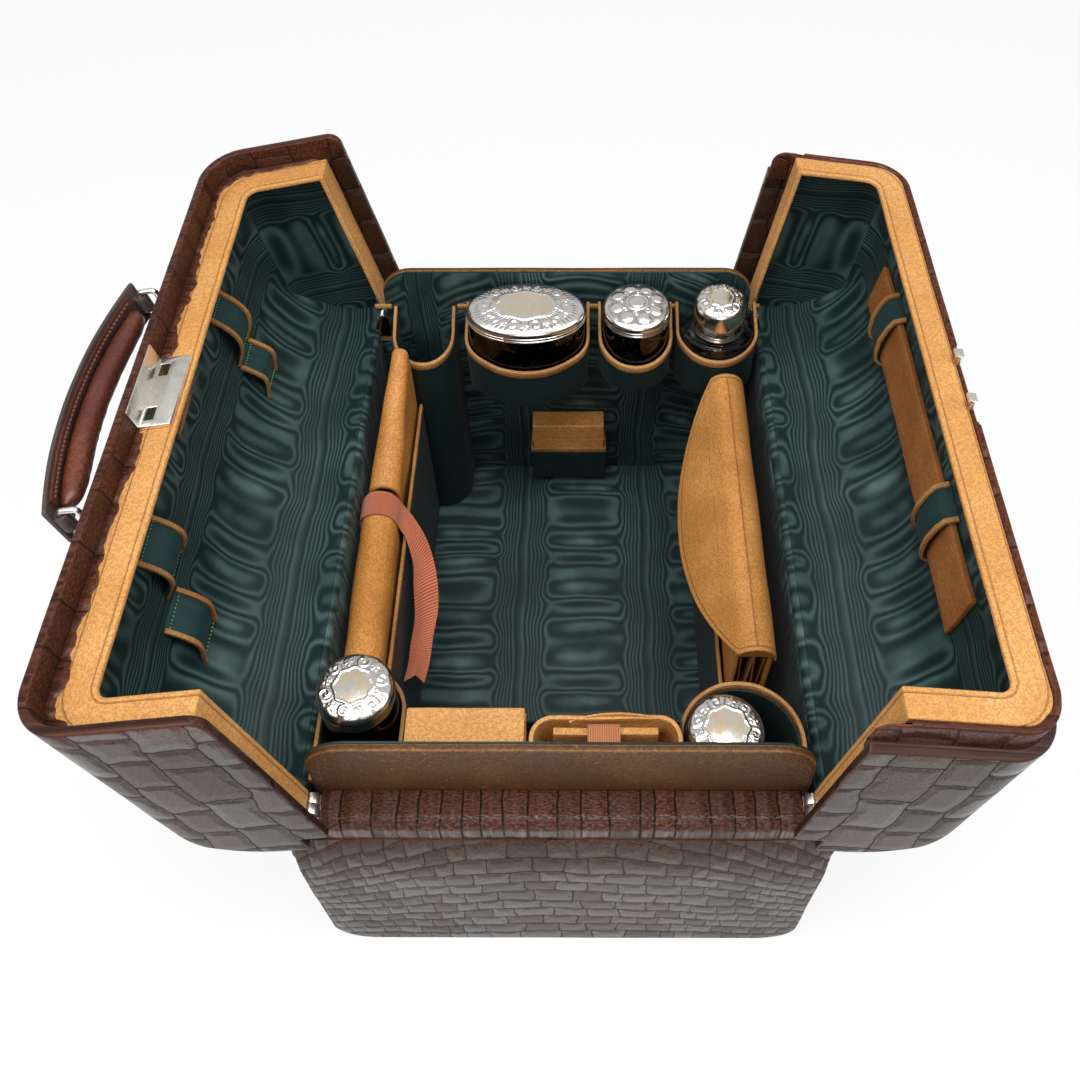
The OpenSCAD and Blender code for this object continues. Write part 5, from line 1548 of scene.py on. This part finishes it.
@dataclass
class LeatherGoods:
    """Loose leather pieces: boxes, folded case, rolls, ribbon and wallet."""

    def build(self, finishes: Finishes) -> None:
        """Builds each piece."""
        self.boxes(finishes)
        self.folded_case(finishes)
        self.rolls(finishes)
        self.ribbon(finishes)
        self.wallet(finishes)

    @staticmethod
    def boxes(finishes: Finishes) -> None:
        """The two leather boxes, each with a lid seam and a tooled border on top."""
        for node, body, seam in (("small_leather_box", "small_box", 16.0),
                                 ("near_leather_box", "near_box", 9.0)):
            piece = Piece.copy(f"{node}_hide", node)
            bm = piece.bm
            low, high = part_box(node)
            cut_z = high.z - seam * MM
            for z in (cut_z - 0.35 * MM, cut_z + 0.35 * MM):
                bmesh.ops.bisect_plane(bm, geom=bm.verts[:] + bm.edges[:] + bm.faces[:],
                                       plane_co=(0, 0, z), plane_no=(0, 0, 1))
            middle = (low + high) / 2
            bm.normal_update()
            top = [f for f in bm.faces if f.normal.z > 0.9]
            bmesh.ops.inset_region(bm, faces=top, thickness=2.2 * MM, use_even_offset=True)
            top = [f for f in bm.faces if f.normal.z > 0.9
                   and (f.calc_center_median() - middle).xy.length < 3 * MM]
            bmesh.ops.inset_region(bm, faces=top, thickness=0.5 * MM, depth=-0.35 * MM,
                                   use_even_offset=True)
            bm.normal_update()
            bands = [f for f in bm.faces if abs(f.calc_center_median().z - cut_z) < 0.2 * MM
                     and abs(f.normal.z) < 0.3]
            bmesh.ops.inset_region(bm, faces=bands, thickness=0.02 * MM, depth=-0.6 * MM)
            piece.round_edges(0.9 * MM, 3, 60.0)
            piece.refine(5.0 * MM).sway(0.25 * MM, 0.02).chart(box_chart)
            piece.finish(finishes.rim if node.startswith("near") else finishes.tan, body,
                         Slot.TAN)

    @staticmethod
    def folded_case(finishes: Finishes) -> None:
        """The folded case with its leaves, elastic band and loose inner flap."""
        piece = Piece.copy("folded_case_hide", "folded_case")
        piece.round_edges(0.5 * MM).refine(5.0 * MM).sway(0.5 * MM, 0.02).chart(box_chart)
        piece.finish(finishes.rim, "folded", Slot.TAN)
        low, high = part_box("folded_case")
        y = (low.y + high.y) / 2
        top = high.z

        def band(across: float, along: float) -> Vector:
            """Point of the elastic band, an arch over the leaves' top edges."""
            angle = math.pi * along
            return Vector((0.0135 + 0.017 * across, y - 0.0082 * math.cos(angle),
                           top - 0.0032 + 0.0035 * math.sin(angle) ** 0.5))

        elastic = Piece("folded_case_elastic").grid(12, 16, band).thicken(0.7 * MM)
        elastic.chart(lambda p, n: (p.y, p.x)).finish(finishes.elastic, "folded", Slot.TAN)

        def flap(across: float, along: float) -> Vector:
            """Point of the flap that stands behind the leaves, highest in its middle."""
            swell = math.sin(math.pi * across) ** 0.7
            return Vector((0.004 + 0.052 * across, y + 0.0088 + 0.003 * swell * along,
                           top - 0.014 + (0.012 + 0.004 * swell) * along))

        Piece("folded_case_flap").grid(24, 8, flap).thicken(1.2 * MM).chart(box_chart).finish(
            finishes.rim, "folded", Slot.TAN)

    @staticmethod
    def rolls(finishes: Finishes) -> None:
        """The two rolls, open at the end that faces the viewer."""
        for node, body, deep in (("far_roll_case", "far_roll", 14.0),
                                 ("near_roll_case", "near_roll", 10.0)):
            piece = Piece.copy(f"{node}_hide", node)
            bm = piece.bm
            bm.normal_update()
            ends = [f for f in bm.faces if f.normal.y < -0.9 and f.calc_area() > 1e-4]
            bmesh.ops.inset_region(bm, faces=ends, thickness=3.2 * MM, use_even_offset=True)
            inner = [f for f in bm.faces if f.normal.y < -0.9 and f.calc_area() > 8e-5
                     and len(f.verts) > 6]
            made = bmesh.ops.extrude_face_region(bm, geom=inner)
            moved = [v for v in made["geom"] if isinstance(v, bmesh.types.BMVert)]
            bmesh.ops.translate(bm, vec=(0, deep * MM, 0), verts=moved)
            bmesh.ops.delete(bm, geom=inner, context="FACES_ONLY")
            piece.round_edges(1.0 * MM, 2, 50.0)
            piece.refine(6.0 * MM).sway(0.7 * MM, 0.03).chart(box_chart)
            piece.finish(finishes.rolled, body, Slot.TAN)

    @staticmethod
    def ribbon(finishes: Finishes) -> None:
        """The rust ribbon round the near roll, with its loose swallow-tail end."""
        rows = [
            ((-134.6, 32, 120.0), (-134.6, 15, 120.0)),
            ((-135.4, 32, 147.5), (-135.4, 15, 147.5)),
            ((-133.8, 32, 155.0), (-133.8, 15, 155.0)),
            ((-128.5, 32, 160.0), (-128.5, 15, 160.0)),
            ((-122.6, 32, 161.4), (-122.6, 15, 161.4)),
            ((-116.7, 32, 160.0), (-116.7, 15, 160.0)),
            ((-111.6, 32, 155.4), (-111.6, 14, 155.4)),
            ((-108.4, 31, 149.0), (-108.6, 12, 149.0)),
            ((-101.5, 24, 144.0), (-104.6, 7, 143.0)),
            ((-92.0, 12, 133.0), (-100.8, -3, 131.0)),
            ((-86.5, -4, 118.0), (-101.0, -13, 116.0)),
            ((-85.0, -22, 107.5), (-100.2, -29, 105.5)),
            ((-87.0, -42, 102.0), (-101.6, -47, 100.0)),
            ((-88.5, -58, 99.0), (-102.8, -60, 97.0)),
            ((-90.5, -73, 97.5), (-104.2, -71, 95.5)),
        ]
        count = len(rows) - 1

        def spline(points: Sequence[tuple[float, float, float]], along: float) -> Vector:
            """Smooth curve through one edge's points."""
            at = min(along * count, count - 1e-6)
            i = int(at)
            t = at - i
            p = [Vector(points[max(0, min(count, i + k))]) for k in (-1, 0, 1, 2)]
            return 0.5 * (2 * p[1] + (p[2] - p[0]) * t
                          + (2 * p[0] - 5 * p[1] + 4 * p[2] - p[3]) * t * t
                          + (3 * p[1] - p[0] - 3 * p[2] + p[3]) * t ** 3)

        near, far = [r[0] for r in rows], [r[1] for r in rows]

        def place(across: float, along: float) -> Vector:
            """Point of the ribbon, notched at its end and gently cupped."""
            notch = 0.030 * (1 - abs(2 * across - 1)) * max(0.0, (along - 0.9) / 0.1)
            at = along - notch
            p = spline(near, at).lerp(spline(far, at), across)
            loose = max(0.0, min(1.0, (at - 0.5) / 0.12))
            p.z += loose * (1.1 * math.sin(at * 46) + 1.3 * math.cos(math.pi * (across - 0.5)))
            return p * MM

        piece = Piece("ribbon_grosgrain")
        piece.nodes = ("ribbon",)
        piece.grid(8, 150, place)
        area = sum(f.calc_area() for f in piece.bm.faces)
        uv = piece.bm.loops.layers.uv.get("chart")
        for face in piece.bm.faces:
            for loop in face.loops:
                share = loop[uv].uv
                loop[uv].uv = (share.x * 0.017, share.y * area / 0.017)
        piece.thicken(0.35 * MM)
        obj = piece.finish(finishes.ribbon, "near_roll", Slot.RIBBON, 70.0)

    @staticmethod
    def wallet(finishes: Finishes) -> None:
        """The wallet: body, folded gussets at its open ends and the curved cover."""
        body = Piece.copy("wallet_body_hide", "wallet_body")
        body.round_edges(0.7 * MM).refine(9.0 * MM).sway(0.5 * MM, 0.03).chart(box_chart)
        body.finish(finishes.rolled, "wallet", Slot.TAN)
        folds = Piece("wallet_gusset")
        folds.grid(16, 20, lambda a, b: Vector((
            0.1035 + 0.0150 * a, -0.0885 + 0.205 * b + 0.0012 * math.sin(9 * a),
            0.055 + 0.108 * abs(((a * 4) % 2) - 1) ** 0.8)))
        folds.thicken(0.8 * MM).chart(box_chart).finish(finishes.russet, "wallet", Slot.TAN)
        radius, middle, centre_z = 13.0, 111.0, 167.0
        centre_y, half, reach = 14.0, 106.0, 43.0
        bow = (half * half + reach * reach) / (2 * reach)
        lean = math.radians(52.0)
        arc = math.radians(180 - 38) - 0.0

        def place(across: float, along: float) -> Vector:
            """Point of the cover: over the top, then down a tongue with a bowed edge."""
            y = half * (2 * along - 1)
            tongue = max(0.0, reach - bow + math.sqrt(bow * bow - y * y))
            over = radius * arc
            run = across * (over + tongue)
            if run <= over:
                angle = run / radius
                x, z = middle + radius * math.cos(angle), centre_z + radius * math.sin(angle)
            else:
                past = run - over
                x0 = middle + radius * math.cos(arc)
                z0 = centre_z + radius * math.sin(arc)
                x = x0 - past * math.cos(math.pi / 2 - (math.pi - arc))
                z = z0 - past * math.sin(math.pi / 2 - (math.pi - arc))
                curl = past / reach
                z += 1.6 * math.sin(math.pi * curl) * 0.8
            return Vector((x, y + centre_y, z)) * MM

        cover = Piece("wallet_cover_hide")
        cover.nodes = ("wallet_flap",)
        cover.grid(44, 90, place)
        mark = cover.bm.verts.layers.float.new("seam")
        uv = cover.bm.loops.layers.uv.get("chart")
        for face in cover.bm.faces:
            for loop in face.loops:
                share = loop[uv].uv
                y = half * (2 * share.y - 1)
                tongue = max(0.0, reach - bow + math.sqrt(bow * bow - y * y))
                left = (1 - share.x) * (radius * arc + tongue)
                ends = half - abs(y)
                line = min(left, ends)
                crease = abs(share.x * (radius * arc + tongue) - radius * arc - 9.0)
                if line > 3.0 and tongue > 12.0:
                    line = min(line, 3.0 + crease)
                loop.vert[mark] = line * MM
        cover.thicken(1.5 * MM).sway(0.6 * MM, 0.04).chart(box_chart)
        cover.finish(finishes.tan, "wallet_cover", Slot.TAN)


@dataclass
class Studio:
    """Camera, floor and lamps."""

    frame_px: float = 1080.0
    focal_px: float = 1093.113
    elevation: float = 50.602
    yaw: float = 0.564
    roll: float = -0.445
    target: Colour = (0.006, 0.0772, 0.1815)
    distance: float = 0.732
    centre_px: tuple[float, float] = (575.0, 420.0)

    def build(self) -> None:
        """Sets up the whole studio."""
        self.camera()
        self.floor()
        self.lamps()
        scene = bpy.context.scene
        scene.view_settings.view_transform = "Standard"

    def camera(self) -> None:
        """Puts the camera at the photograph's viewing angle."""
        a, e, r = (math.radians(v) for v in (self.yaw, self.elevation, self.roll))
        back = Vector((math.sin(a) * math.cos(e), -math.cos(a) * math.cos(e), math.sin(e)))
        right = Vector((math.cos(a), math.sin(a), 0.0))
        up = back.cross(right)
        side = right * math.cos(r) + up * math.sin(r)
        top = -right * math.sin(r) + up * math.cos(r)
        place = Vector(self.target) + back * self.distance
        data = bpy.data.cameras.new("camera")
        data.sensor_width = 36.0
        data.lens = self.focal_px / self.frame_px * data.sensor_width
        data.shift_x = (self.frame_px / 2 - self.centre_px[0]) / self.frame_px
        data.shift_y = (self.centre_px[1] - self.frame_px / 2) / self.frame_px
        obj = bpy.data.objects.new("camera", data)
        obj.matrix_world = Matrix((
            (side.x, top.x, back.x, place.x), (side.y, top.y, back.y, place.y),
            (side.z, top.z, back.z, place.z), (0, 0, 0, 1)))
        bpy.context.scene.collection.objects.link(obj)
        bpy.context.scene.camera = obj

    @staticmethod
    def floor() -> None:
        """A pale floor that the camera sees as the white of the background, with its shadow."""
        bm = bmesh.new()
        bmesh.ops.create_grid(bm, x_segments=1, y_segments=1, size=6.0)
        mesh = bpy.data.meshes.new("floor")
        bm.to_mesh(mesh)
        bm.free()
        floor = bpy.data.objects.new("floor", mesh)
        bpy.context.scene.collection.objects.link(floor)
        material = bpy.data.materials.new("floor")
        material.use_nodes = True
        w = Wiring(material.node_tree)
        shader = material.node_tree.nodes["Principled BSDF"]
        shader.inputs["Base Color"].default_value = (0.86, 0.86, 0.85, 1.0)
        shader.inputs["Roughness"].default_value = 0.9
        white = w.add("Emission", {0: (1.0, 1.0, 1.0, 1.0), 1: 1.0})
        rays = w.add("LightPath")
        seen = w.math("MULTIPLY", rays.outputs["Is Camera Ray"], 0.86)
        mixed = w.add("MixShader", {0: seen, 1: shader.outputs[0], 2: white.outputs[0]})
        output = material.node_tree.nodes["Material Output"]
        w.tree.links.new(mixed.outputs[0], output.inputs["Surface"])
        mesh.materials.append(material)

    @staticmethod
    def lamps() -> None:
        """Soft studio light from above and a pale room round the case."""
        world = bpy.data.worlds.new("room")
        bpy.context.scene.world = world
        world.use_nodes = True
        w = Wiring(world.node_tree)
        background = world.node_tree.nodes["Background"]
        background.inputs["Color"].default_value = (1.0, 1.0, 1.0, 1.0)
        rays = w.add("LightPath")
        seen = w.math("MAXIMUM", rays.outputs["Is Camera Ray"],
                      w.math("MAXIMUM", w.math("MULTIPLY", rays.outputs["Is Glossy Ray"], 0.4),
                             rays.outputs["Is Transmission Ray"]))
        w.tree.links.new(w.math("ADD", w.math("MULTIPLY", seen, 0.65), 0.35, clamp=True),
                         background.inputs["Strength"])
        for name, place, aim, size, power in (
            ("key", (-0.75, -0.55, 1.35), (0.0, 0.0, 0.1), 0.9, 11.0),
            ("fill", (0.95, -0.35, 1.15), (0.0, 0.0, 0.1), 0.9, 6.5),
            ("front", (0.1, -1.35, 0.75), (0.0, -0.1, 0.12), 0.8, 4.0),
            ("top", (0.05, -0.25, 1.65), (0.0, 0.05, 0.05), 0.7, 13.0),
        ):
            data = bpy.data.lights.new(name, "AREA")
            data.size = size
            data.energy = power
            lamp = bpy.data.objects.new(name, data)
            lamp.location = place
            lamp.rotation_euler = (Vector(aim) - Vector(place)).to_track_quat("-Z", "Y").to_euler()
            bpy.context.scene.collection.objects.link(lamp)


def main() -> None:
    """Builds the case's looks in order."""
    logging.basicConfig(level=logging.INFO, format="%(name)s: %(message)s")
    Studio().build()
    finishes = Finishes()
    Body().build(finishes)
    for leaf in (LEFT, RIGHT):
        RoofLeaf(leaf).build(finishes)
    Loops().build(finishes)
    Lock().build(finishes)
    Handle().build(finishes)
    Vessels().build(finishes)
    LeatherGoods().build(finishes)


if __name__ == "__main__":
    main()
